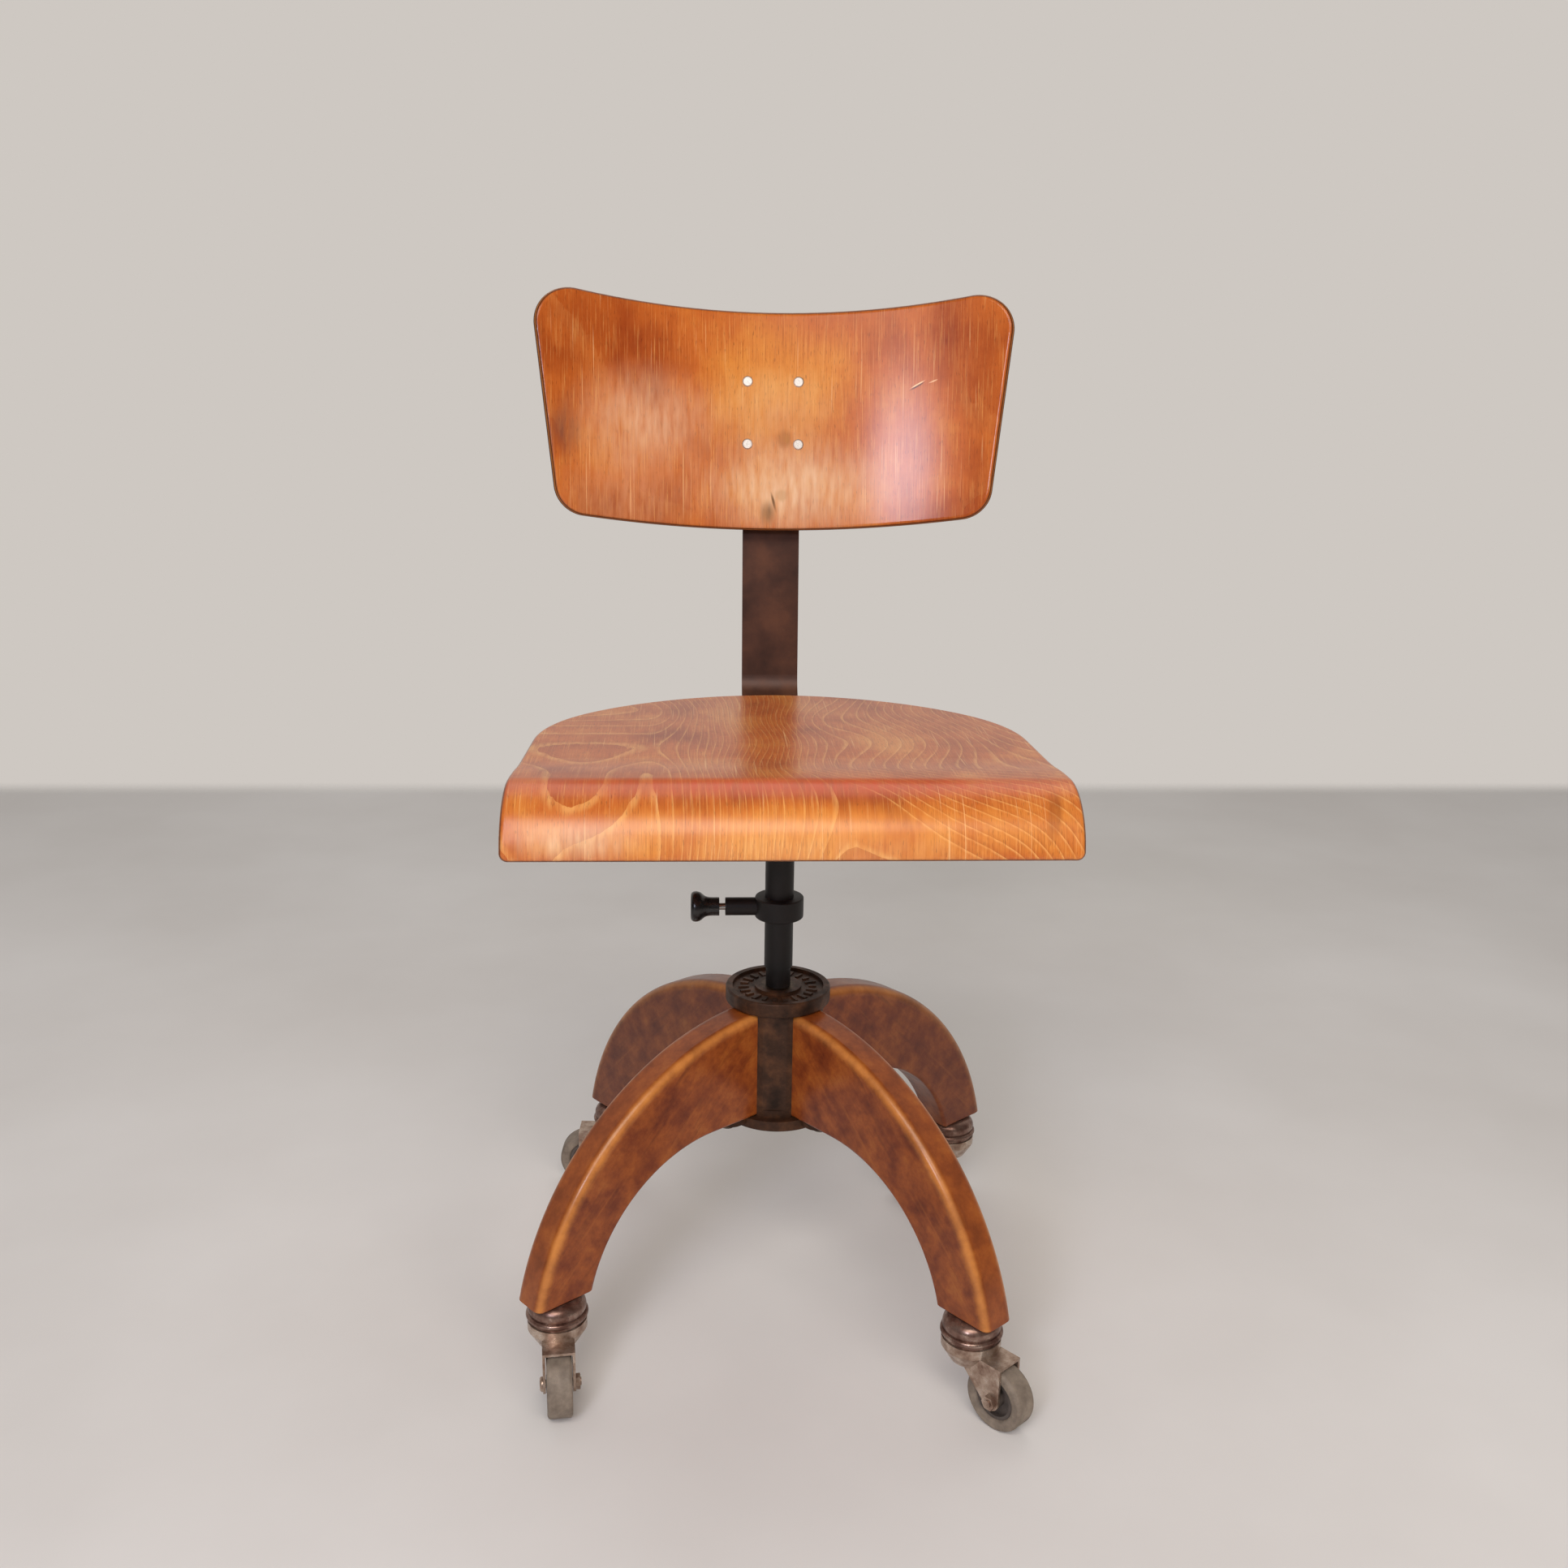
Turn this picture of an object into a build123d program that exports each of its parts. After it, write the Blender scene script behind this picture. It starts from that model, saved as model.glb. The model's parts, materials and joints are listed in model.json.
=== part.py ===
from build123d import *
from math import acos, cos, degrees, radians, sin, sqrt, tan
import os

# A wooden swivel desk chair: moulded plywood seat and backrest, a steel bar, a telescoping
# column with a spring plunger, and a cast hub that holds four curved legs on casters.
# Millimetres, +Z up, the seat faces -Y, the origin is on the floor under the column.
# Left and right are as seen by someone who stands in front of the chair.

# Whole angles, in degrees
right_angle = 90.0
half_turn = 180.0
full_turn = 360.0

# Clearances
running_gap = 0.08
fit_gap = 0.05
face_gap = 0.3

# Base: legs between a hub casting and its bottom plate
base_turn = -6.0
leg_count = 4
leg_thick = 30.0
leg_round = 7.0
leg_arch_round = 3.0
foot_round = 2.0
foot_z = 80.0
leg_bottom_z = 172.0
leg_top_z = 260.5
leg_root_r = 22.0
leg_knee_r = 80.0
arch_r = 122.0
leg_back_r = 229.5
leg_back_center_r = 24.0

hub_core_r = 38.0
hub_bush_r = 14.0
hub_flange_r = 42.5
hub_flange_t = 12.0
hub_edge_round = 1.5
hub_rim_w = 5.5
hub_boss_r = 19.0
hub_recess = 2.5
panel_recess = 1.2
panel_recess_w = 19.0
panel_recess_margin = 6.0

plate_r = 45.0
plate_t = 9.0
lobe_reach_r = 62.0
lobe_w = 24.0
lobe_t = 5.0
plate_edge_round = 1.5

leg_screw_r = 3.0
leg_screw_depth = 38.0
leg_screw_head_r = 5.5
leg_screw_head_h = 3.5
leg_screw_inner_r = 37.5
leg_screw_outer_r = 53.0
screw_slot_w = 1.2
screw_slot_depth = 1.4
screw_slot_in_head_radii = 3.0

plate_screw_r = 2.5
plate_screw_head_r = 4.8
plate_screw_depth = 16.0
plate_screw_circle_r = 29.0
countersink_slope = 45.0

bush_length = 30.0
lower_bush_lift = 8.0
thrust_ball_r = 5.0
thrust_ball_sink = 2.0
thrust_seat_lift = 2.5

# Column: post, tube, collar and plunger
post_r = 10.0
post_top_z = 440.0
post_chamfer = 1.5
ring_w = 3.0
ring_r = 13.0
ring_groove_depth = 1.0
ring_split = 4.0
tube_wall = 1.4
tube_bottom_z = 289.5
height_down = 12.0
height_up = 90.0

collar_r = 19.5
collar_h = 17.0
collar_round = 1.2
plunger_z = 340.0
plunger_flat_x = 18.0
barrel_r = 7.25
barrel_end_x = 43.3
barrel_wall = 2.9
barrel_end_wall = 4.3
barrel_spigot_r = 6.0
pin_r = 2.75
pin_tip_x = 8.0
pin_flange_x = 17.0
pin_flange_t = 2.5
pin_in_knob = 12.0
knob_gap = 4.8
knob_stem_r = 7.4
knob_stem_l = 6.0
knob_head_r = 11.8
knob_l = 22.8
knob_face_r = 8.5
knob_head_from_end = 6.5
spring_wire_r = 0.45
spring_turns = 7
keyway_spare = 2.3
keyway_gap = 0.45
keyway_floor_gap = 0.6
index_pitch = 15.0
index_depth = 4.0

# Seat shell, pressed in one direction only
seat_ply = 9.0
seat_half_front = 200.0
seat_front_y = -178.0
seat_rear_y = 151.5
seat_rear_arc_r = 210.0
seat_rear_side_inset = 19.6
seat_rear_corner_r = 140.0
seat_lip_corner_r = 6.0
seat_edge_round = 3.5
seat_lip_z = 436.0
seat_ridge_z = 483.0
seat_roll_r = 46.0
seat_dish_depth = 3.0
seat_dish_run = 66.0
seat_flat_end_y = 115.0
seat_rear_rise_r = 1500.0

# Steel under the seat and the bar of the backrest
socket_t = 5.0
socket_w = 140.0
socket_front_y = -80.0
socket_rear_y = 95.0
socket_corner_r = 12.0
socket_boss_r = 18.0
socket_boss_h = 22.0
seat_screw_r = 2.25
seat_screw_depth = 6.0
seat_screw_head_r = 4.5
seat_screw_head_h = 2.8
seat_screw_dx = 110.0
seat_screw_dy = 70.0
seat_screw_mid_y = 5.0
seat_screw_rows = 3

bar_w = 50.0
bar_t = 5.0
bar_start_y = 24.0
bar_bend_r = 24.0
bar_lean = 6.0
bar_bolt_r = 4.0
bar_bolt_flats = 13.0
bar_bolt_head_h = 5.3
bar_bolt_mid_y = 62.0
bar_bolt_pitch = 36.0
bar_bolt_count = 2

# Backrest and its hinge
back_tilt = 9.0
back_y = 205.0
back_z = 709.0
back_ply = 9.0
back_curve_r = 430.0
back_half_top = 204.5
back_half_bottom = 183.5
back_top_mid = 93.0
back_top_corner = 110.0
back_bottom_mid = 92.0
back_bottom_corner = 80.0
back_top_corner_r = 30.0
back_bottom_corner_r = 27.0
back_edge_round = 3.5
rivet_dx = 44.0
rivet_dv = 53.0
rivet_lift = 8.0
rivet_r = 2.5
rivet_head_r = 4.5
rivet_head_h = 1.7
rivet_sink = 0.4
rivet_dome_slope = 30.0
bracket_t = 4.0
bracket_w = 66.0
bracket_h = 74.0
bracket_corner_r = 8.0
eye_r = 8.0
eye_gap = 1.0
ear_t = 4.0
ear_r = 9.0
ear_foot = 44.0
pivot_r = 4.0
pivot_head_r = 6.5
pivot_head_h = 3.0

# Casters
caster_inset = 27.2
caster_trail = 30.0
wheel_r = 25.0
tyre_w = 19.0
tyre_round = 3.0
core_r = 16.0
core_rim_w = 15.0
core_rim_t = 2.5
core_web_t = 7.0
core_boss_r = 6.5
cheek_gap = 20.2
fork_t = 2.0
axle_r = 3.0
axle_eye_r = 7.0
axle_head_r = 5.5
axle_head_h = 2.4
axle_nut_flats = 10.0
axle_nut_h = 3.4
axle_tail = 0.8
stem_r = 5.5
stem_length = 38.0
stem_chamfer = 1.5
cup_top_r = 14.0
cup_dome_drop = 11.5
cup_r = 23.6
cup_bead_r = 2.2
cup_height = 18.0
race_gap = 4.5
race_plate_t = 3.0
race_r = 22.5
race_lip_t = 1.8
race_ball_r = 2.1
race_ball_circle_r = 14.0
race_ball_count = 14
kingpin_r = 4.0
kingpin_head_r = 7.0
kingpin_head_h = 1.8
skirt_foot_r = 15.5
skirt_foot_z = 43.0
hood_reach = 37.0
hood_drop = 2.0
cheek_front = 9.0

# An edge of a ply shell that is longer than this many thicknesses runs along the shell's rim
across_ply = 1.3

# Corner name, number of quarter turns from the rear right leg, the caster's trail heading, and
# the hand on which its axle nut is: 1 to the right of a wheel that rolls away, or -1 to the left
corners = [
    ("front_left", 2, -84.0, -1),
    ("front_right", 3, -49.0, 1),
    ("rear_left", 1, 177.0, 1),
    ("rear_right", 0, 190.0, 1),
]


def save(piece, label):
    piece.part.label = label
    export_step(piece.part, f"parts/{label}.step")


def heading(angle):
    return Vector(cos(radians(angle)), sin(radians(angle)), 0)


def upright(origin, along):
    """A vertical plane: its own x runs along a level direction and its own y points up."""
    return Plane(origin=origin, x_dir=along, z_dir=along.cross(Vector(0, 0, 1)))


os.makedirs("parts", exist_ok=True)

# Places that several pieces share
leg_spacing = full_turn / leg_count
first_leg_angle = base_turn + leg_spacing / 2
first_panel_angle = base_turn
hub_flange_z = leg_top_z + face_gap
hub_top_z = hub_flange_z + hub_flange_t
plate_bottom_z = leg_bottom_z - plate_t
hub_bore_r = hub_bush_r + fit_gap
tube_bore_r = post_r + running_gap
tube_r = tube_bore_r + tube_wall
collar_bore_r = tube_r + fit_gap
seat_flat_z = seat_ridge_z - seat_dish_depth
seat_under_z = seat_flat_z - seat_ply
socket_bottom_z = seat_under_z - socket_t
bar_bottom_z = socket_bottom_z - bar_t
thrust_ball_z = leg_bottom_z - thrust_ball_sink + thrust_ball_r
post_bottom_z = thrust_ball_z + thrust_seat_lift
lower_bush_z = leg_bottom_z + lower_bush_lift
upper_bush_z = hub_top_z - bush_length
ring_z = upper_bush_z - face_gap - ring_w
screw_head_z = leg_bottom_z - lobe_t
leg_back_center_z = leg_top_z - leg_back_r
toe_r = leg_back_center_r + sqrt(leg_back_r**2 - (foot_z - leg_back_center_z) ** 2)
caster_r = toe_r - caster_inset

# Hub casting: a core with a slot for each leg, a rimmed top flange and a bore for the bushes
with BuildPart() as hub_casting:
    with BuildSketch(Plane.XY.offset(leg_bottom_z)):
        Circle(hub_core_r)
    extrude(amount=hub_flange_z - leg_bottom_z)
    with BuildSketch(Plane.XY.offset(leg_bottom_z)):
        with PolarLocations(leg_root_r - fit_gap + hub_core_r / 2, leg_count, first_leg_angle):
            Rectangle(hub_core_r, leg_thick + 2 * fit_gap)
    extrude(amount=hub_flange_z - leg_bottom_z, mode=Mode.SUBTRACT)
    with BuildSketch(Plane.XY.offset(leg_bottom_z + panel_recess_margin)):
        with PolarLocations(hub_core_r, leg_count, first_panel_angle):
            Rectangle(2 * panel_recess, panel_recess_w)
    panel_recess_h = hub_flange_z - leg_bottom_z - 2 * panel_recess_margin
    extrude(amount=panel_recess_h, mode=Mode.SUBTRACT)
    with BuildSketch(Plane.XY.offset(hub_flange_z)):
        Circle(hub_flange_r)
    extrude(amount=hub_flange_t)
    flange_edges = hub_casting.edges().filter_by(GeomType.CIRCLE)
    fillet(flange_edges.filter_by(lambda edge: abs(edge.radius - hub_flange_r) < fit_gap), hub_edge_round)
    with BuildSketch(Plane.XY.offset(hub_top_z)):
        Circle(hub_flange_r - hub_rim_w)
        Circle(hub_boss_r, mode=Mode.SUBTRACT)
    extrude(amount=-hub_recess, mode=Mode.SUBTRACT)
    with BuildSketch(Plane.XY.offset(leg_bottom_z)):
        Circle(hub_bore_r)
    extrude(amount=hub_top_z - leg_bottom_z, mode=Mode.SUBTRACT)
    with BuildSketch(Plane.XY.offset(leg_bottom_z)):
        with PolarLocations(plate_screw_circle_r, leg_count, first_panel_angle):
            Circle(plate_screw_r + fit_gap)
    extrude(amount=plate_screw_depth, mode=Mode.SUBTRACT)
save(hub_casting, "hub_casting")

# Bottom plate: a disc with a tongue under each leg
with BuildPart() as hub_bottom_plate:
    with BuildSketch(Plane.XY.offset(plate_bottom_z)):
        Circle(plate_r)
    extrude(amount=plate_t)
    fillet(hub_bottom_plate.faces().sort_by(Axis.Z)[0].edges(), plate_edge_round)
    with BuildSketch(Plane.XY.offset(screw_head_z)):
        with PolarLocations(lobe_reach_r / 2, leg_count, first_leg_angle):
            SlotOverall(lobe_reach_r, lobe_w)
    extrude(amount=lobe_t)
    with BuildSketch(Plane.XY.offset(screw_head_z)):
        for screw_circle_r in (leg_screw_inner_r, leg_screw_outer_r):
            with PolarLocations(screw_circle_r, leg_count, first_leg_angle):
                Circle(leg_screw_r + fit_gap)
    extrude(amount=lobe_t, mode=Mode.SUBTRACT)
    with BuildSketch(Plane.XY.offset(plate_bottom_z)):
        with PolarLocations(leg_screw_inner_r, leg_count, first_leg_angle):
            Circle(leg_screw_head_r + face_gap)
    extrude(amount=plate_t - lobe_t, mode=Mode.SUBTRACT)
    with Locations((0, 0, thrust_ball_z)):
        Sphere(thrust_ball_r + fit_gap, mode=Mode.SUBTRACT)
    with Locations(Plane.XY.offset(plate_bottom_z).rotated((half_turn, 0, 0))):
        with PolarLocations(plate_screw_circle_r, leg_count, -first_panel_angle):
            CounterSinkHole(plate_screw_r + fit_gap, plate_screw_head_r + fit_gap, plate_t)
save(hub_bottom_plate, "hub_bottom_plate")


# One curved leg, sawn from a plank and rounded along its outer edges
def make_leg(corner, angle):
    arch_center_z = leg_bottom_z - arch_r
    arch_turn = degrees(acos((foot_z - arch_center_z) / arch_r))
    toe = (toe_r, foot_z)
    shoulder_drop = sqrt(leg_back_r**2 - (leg_back_center_r - leg_root_r) ** 2)
    shoulder = (leg_root_r, leg_back_center_z + shoulder_drop)
    middle = leg_back_r * cos(radians(right_angle / 2))
    with BuildPart() as leg:
        with BuildSketch(upright((0, 0, 0), heading(angle))):
            with BuildLine():
                Line((leg_root_r, leg_bottom_z), (leg_knee_r, leg_bottom_z))
                arch = JernArc((leg_knee_r, leg_bottom_z), (1, 0), arch_r, -arch_turn)
                Line(arch @ 1, toe)
                ThreePointArc(toe, (leg_back_center_r + middle, leg_back_center_z + middle), shoulder)
                Line(shoulder, (leg_root_r, leg_bottom_z))
            make_face()
        extrude(amount=leg_thick / 2, both=True)
        curved = leg.edges().filter_by(GeomType.CIRCLE)
        fillet(curved.filter_by(lambda edge: abs(edge.radius - leg_back_r) < fit_gap), leg_round)
        curved = leg.edges().filter_by(GeomType.CIRCLE)
        fillet(curved.filter_by(lambda edge: abs(edge.radius - arch_r) < fit_gap), leg_arch_round)
        chamfer(leg.faces().sort_by(Axis.Z)[0].edges(), foot_round)
        with BuildSketch(Plane.XY.offset(foot_z)):
            with PolarLocations(caster_r, 1, angle):
                Circle(stem_r + fit_gap)
        extrude(amount=stem_length + face_gap, mode=Mode.SUBTRACT)
        with BuildSketch(Plane.XY.offset(leg_bottom_z)):
            for screw_circle_r in (leg_screw_inner_r, leg_screw_outer_r):
                with PolarLocations(screw_circle_r, 1, angle):
                    Circle(leg_screw_r + fit_gap)
        extrude(amount=leg_screw_depth + face_gap, mode=Mode.SUBTRACT)
    save(leg, f"leg_{corner}")


for corner, quarter, trail_angle, nut_hand in corners:
    make_leg(corner, first_leg_angle + leg_spacing * quarter)

# Slotted screws that pull the plate's tongues up against the legs
with BuildPart() as leg_screws:
    for screw_circle_r in (leg_screw_inner_r, leg_screw_outer_r):
        with BuildSketch(Plane.XY.offset(screw_head_z)):
            with PolarLocations(screw_circle_r, leg_count, first_leg_angle):
                Circle(leg_screw_r)
        extrude(amount=lobe_t + leg_screw_depth)
        with BuildSketch(Plane.XY.offset(screw_head_z)):
            with PolarLocations(screw_circle_r, leg_count, first_leg_angle):
                Circle(leg_screw_head_r)
        extrude(amount=-leg_screw_head_h)
        with BuildSketch(Plane.XY.offset(screw_head_z - leg_screw_head_h)):
            with PolarLocations(screw_circle_r, leg_count, first_leg_angle):
                Rectangle(screw_slot_in_head_radii * leg_screw_head_r, screw_slot_w)
        extrude(amount=screw_slot_depth, mode=Mode.SUBTRACT)
save(leg_screws, "leg_screws")

# Countersunk screws that hold the plate to the hub casting
with BuildPart() as plate_screws:
    with BuildSketch(Plane.XY.offset(plate_bottom_z)):
        with PolarLocations(plate_screw_circle_r, leg_count, first_panel_angle):
            Circle(plate_screw_r)
    extrude(amount=plate_t + plate_screw_depth - face_gap)
    head_h = plate_screw_head_r - plate_screw_r
    with BuildSketch(Plane.XY.offset(plate_bottom_z)):
        with PolarLocations(plate_screw_circle_r, leg_count, first_panel_angle):
            Circle(plate_screw_head_r - fit_gap)
    extrude(amount=head_h - fit_gap, taper=countersink_slope)
    with BuildSketch(Plane.XY.offset(plate_bottom_z)):
        with PolarLocations(plate_screw_circle_r, leg_count, first_panel_angle):
            Rectangle(screw_slot_in_head_radii * plate_screw_head_r, screw_slot_w)
    extrude(amount=screw_slot_depth, mode=Mode.SUBTRACT)
save(plate_screws, "plate_screws")


# Bronze bush pressed into the hub bore
def make_bush(name, bottom_z):
    with BuildPart() as bush:
        with BuildSketch(Plane.XY.offset(bottom_z)):
            Circle(hub_bush_r)
            Circle(post_r + running_gap, mode=Mode.SUBTRACT)
        extrude(amount=bush_length)
    save(bush, name)


make_bush("upper_bush", upper_bush_z)
make_bush("lower_bush", lower_bush_z)

# Steel ball that the post turns on
with BuildPart(Plane.XY.offset(thrust_ball_z)) as thrust_ball:
    Sphere(thrust_ball_r)
save(thrust_ball, "thrust_ball")

# Post with a keyway and index holes for the plunger
keyway_floor = pin_tip_x - keyway_floor_gap
keyway_low = plunger_z - height_down - pin_r - keyway_spare
keyway_high = plunger_z + height_up + pin_r + keyway_spare
keyway_mid = (keyway_low + keyway_high) / 2
with BuildPart() as post:
    with BuildSketch(Plane.XY.offset(post_bottom_z)):
        Circle(post_r)
    extrude(amount=post_top_z - post_bottom_z)
    chamfer(post.faces().sort_by(Axis.Z)[-1].edges(), post_chamfer)
    with Locations((0, 0, thrust_ball_z)):
        Sphere(thrust_ball_r + face_gap, mode=Mode.SUBTRACT)
    with BuildSketch(Plane.XY.offset(ring_z - fit_gap)):
        Circle(post_r + ring_groove_depth)
        Circle(post_r - ring_groove_depth, mode=Mode.SUBTRACT)
    extrude(amount=ring_w + 2 * fit_gap, mode=Mode.SUBTRACT)
    with BuildSketch(Plane.YZ.offset(-keyway_floor)):
        with Locations((0, keyway_mid)):
            Rectangle(2 * (pin_r + keyway_gap), keyway_high - keyway_low)
    extrude(amount=keyway_floor - 2 * post_r, mode=Mode.SUBTRACT)
    index_count = 1 + int((height_down + height_up) // index_pitch)
    index_low = plunger_z - height_down
    with BuildSketch(Plane.YZ.offset(-keyway_floor)):
        with Locations(*[(0, index_low + step * index_pitch) for step in range(index_count)]):
            Circle(pin_r + running_gap)
    extrude(amount=index_depth, mode=Mode.SUBTRACT)
save(post, "post")

# Split ring in the post's groove, under the upper bush, so that the post can't be pulled out
with BuildPart() as retaining_ring:
    with BuildSketch(Plane.XY.offset(ring_z)):
        Circle(ring_r)
        Circle(post_r - ring_groove_depth + fit_gap, mode=Mode.SUBTRACT)
        with Locations((ring_r, 0)):
            Rectangle(2 * ring_r, ring_split, mode=Mode.SUBTRACT)
    extrude(amount=ring_w)
save(retaining_ring, "retaining_ring")

# Tube that carries the seat and slides on the post
with BuildPart() as seat_tube:
    with BuildSketch(Plane.XY.offset(tube_bottom_z)):
        Circle(tube_r)
        Circle(tube_bore_r, mode=Mode.SUBTRACT)
    extrude(amount=socket_bottom_z - tube_bottom_z)
    with BuildSketch(Plane.YZ):
        with Locations((0, plunger_z)):
            Circle(pin_r + running_gap)
    extrude(amount=-2 * tube_r, mode=Mode.SUBTRACT)
save(seat_tube, "seat_tube")

# Collar on the tube, with a flat and a hole for the plunger's barrel
with BuildPart() as height_collar:
    with BuildSketch(Plane.XY.offset(plunger_z - collar_h / 2)):
        Circle(collar_r)
    extrude(amount=collar_h)
    fillet(height_collar.edges().filter_by(GeomType.CIRCLE), collar_round)
    with BuildSketch(Plane.XY.offset(plunger_z - collar_h / 2)):
        Circle(collar_bore_r)
    extrude(amount=collar_h, mode=Mode.SUBTRACT)
    with BuildSketch(Plane.YZ.offset(-plunger_flat_x)):
        with Locations((0, plunger_z)):
            Circle(barrel_r + fit_gap)
    extrude(amount=plunger_flat_x - 2 * collar_r, mode=Mode.SUBTRACT)
    with BuildSketch(Plane.YZ):
        with Locations((0, plunger_z)):
            Circle(barrel_spigot_r + fit_gap)
    extrude(amount=-plunger_flat_x, mode=Mode.SUBTRACT)
save(height_collar, "height_collar")

# Plunger pieces are turned about a level axis that points out of the column to the left
plunger_plane = upright((0, 0, plunger_z), Vector(-1, 0, 0))
plunger_axis = Axis((0, 0, plunger_z), (-1, 0, 0))
barrel_bore_r = barrel_r - barrel_wall
spigot_x = sqrt(collar_bore_r**2 + barrel_spigot_r**2)
spring_seat_x = pin_flange_x + pin_flange_t
spring_end_x = barrel_end_x - barrel_end_wall
knob_back_x = barrel_end_x + knob_gap
knob_end_x = knob_back_x + knob_l

with BuildPart() as plunger_barrel:
    with BuildSketch(plunger_plane):
        with BuildLine():
            Polyline(
                (spigot_x, barrel_bore_r),
                (spigot_x, barrel_spigot_r),
                (plunger_flat_x, barrel_spigot_r),
                (plunger_flat_x, barrel_r),
                (barrel_end_x, barrel_r),
                (barrel_end_x, pin_r + running_gap),
                (spring_end_x, pin_r + running_gap),
                (spring_end_x, barrel_bore_r),
                close=True,
            )
        make_face()
    revolve(axis=plunger_axis)
save(plunger_barrel, "plunger_barrel")

with BuildPart() as plunger_pin:
    with BuildSketch(plunger_plane):
        with BuildLine():
            Polyline(
                (pin_tip_x, 0),
                (pin_tip_x, pin_r),
                (pin_flange_x, pin_r),
                (pin_flange_x, barrel_bore_r - running_gap),
                (spring_seat_x, barrel_bore_r - running_gap),
                (spring_seat_x, pin_r),
                (knob_back_x + pin_in_knob, pin_r),
                (knob_back_x + pin_in_knob, 0),
                close=True,
            )
        make_face()
    revolve(axis=plunger_axis)
save(plunger_pin, "plunger_pin")

with BuildPart() as plunger_knob:
    head_x = knob_end_x - knob_head_from_end
    with BuildSketch(plunger_plane):
        with BuildLine():
            Line((knob_back_x, 0), (knob_back_x, knob_stem_r))
            Line((knob_back_x, knob_stem_r), (knob_back_x + knob_stem_l, knob_stem_r))
            Spline(
                (knob_back_x + knob_stem_l, knob_stem_r),
                (head_x, knob_head_r),
                (knob_end_x, knob_face_r),
                tangents=((1, 0), (0, -1)),
            )
            Line((knob_end_x, knob_face_r), (knob_end_x, 0))
            Line((knob_end_x, 0), (knob_back_x, 0))
        make_face()
    revolve(axis=plunger_axis)
    with BuildSketch(Plane.YZ.offset(-knob_back_x)):
        with Locations((0, plunger_z)):
            Circle(pin_r + fit_gap)
    extrude(amount=-(pin_in_knob + fit_gap), mode=Mode.SUBTRACT)
save(plunger_knob, "plunger_knob")

# Coil spring between the pin's flange and the barrel's end wall
spring_coil_r = (barrel_bore_r + pin_r) / 2
spring_length = spring_end_x - spring_seat_x - 2 * (spring_wire_r + face_gap)
spring_start_x = spring_seat_x + spring_wire_r + face_gap
with BuildPart() as plunger_spring:
    with BuildLine():
        coil_start = (-spring_start_x, 0, plunger_z)
        coil_pitch = spring_length / spring_turns
        coil = Helix(coil_pitch, spring_length, spring_coil_r, center=coil_start, direction=(-1, 0, 0))
    with BuildSketch(Plane(coil @ 0, z_dir=coil % 0)):
        Circle(spring_wire_r)
    sweep(path=coil, is_frenet=True)
save(plunger_spring, "plunger_spring")

# Seat shell: a pressed profile, trimmed to its plan outline
dish_turn = 2 * degrees(acos(1 / sqrt(1 + (seat_dish_depth / seat_dish_run) ** 2)))
dish_r = seat_dish_run / (2 * sin(radians(dish_turn)))
rear_turn = degrees((seat_rear_y - seat_flat_end_y + seat_ply) / seat_rear_rise_r)
seat_half_rear = seat_rear_arc_r - seat_rear_side_inset
rear_arc_center_y = seat_rear_y - seat_rear_arc_r
rear_corner_y = rear_arc_center_y + sqrt(seat_rear_arc_r**2 - seat_half_rear**2)
with BuildPart() as seat_shell:
    with BuildSketch(Plane.YZ):
        with BuildLine():
            lip_top = (seat_front_y, seat_ridge_z - seat_roll_r)
            Line((seat_front_y, seat_lip_z), lip_top)
            roll = JernArc(lip_top, (0, 1), seat_roll_r, -right_angle)
            fall = JernArc(roll @ 1, roll % 1, dish_r, -dish_turn)
            dish = JernArc(fall @ 1, fall % 1, dish_r, dish_turn)
            flat = Line(dish @ 1, (seat_flat_end_y, seat_flat_z))
            JernArc(flat @ 1, flat % 1, seat_rear_rise_r, rear_turn)
            offset(amount=seat_ply, side=Side.RIGHT)
        make_face()
    extrude(amount=seat_half_front + seat_half_rear, both=True)
    with BuildSketch(Plane.XY.offset(seat_lip_z - seat_ply)) as seat_outline:
        with BuildLine():
            Polyline(
                (-seat_half_rear, rear_corner_y),
                (-seat_half_front, seat_front_y - seat_ply),
                (seat_half_front, seat_front_y - seat_ply),
                (seat_half_rear, rear_corner_y),
            )
            ThreePointArc(
                (seat_half_rear, rear_corner_y), (0, seat_rear_y), (-seat_half_rear, rear_corner_y)
            )
        make_face()
        fillet(seat_outline.vertices().group_by(Axis.Y)[-1], seat_rear_corner_r)
    extrude(amount=2 * (seat_ridge_z - seat_lip_z), mode=Mode.INTERSECT)
    lip_end = seat_shell.faces().sort_by(Axis.Z)[0]
    fillet(lip_end.edges().sort_by(SortBy.LENGTH)[:2], seat_lip_corner_r)
    lip_end = seat_shell.faces().sort_by(Axis.Z)[0]
    outer = seat_shell.edges().filter_by(Axis.X, reverse=True) + lip_end.edges().filter_by(Axis.X)
    fillet(outer.filter_by(lambda edge: edge.length > across_ply * seat_ply), seat_edge_round)
    with BuildSketch(Plane.XY.offset(seat_under_z)):
        with Locations((0, seat_screw_mid_y)):
            with GridLocations(seat_screw_dx, seat_screw_dy, 2, seat_screw_rows):
                Circle(seat_screw_r + fit_gap)
    extrude(amount=seat_screw_depth + face_gap, mode=Mode.SUBTRACT)
save(seat_shell, "seat_shell")

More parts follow.
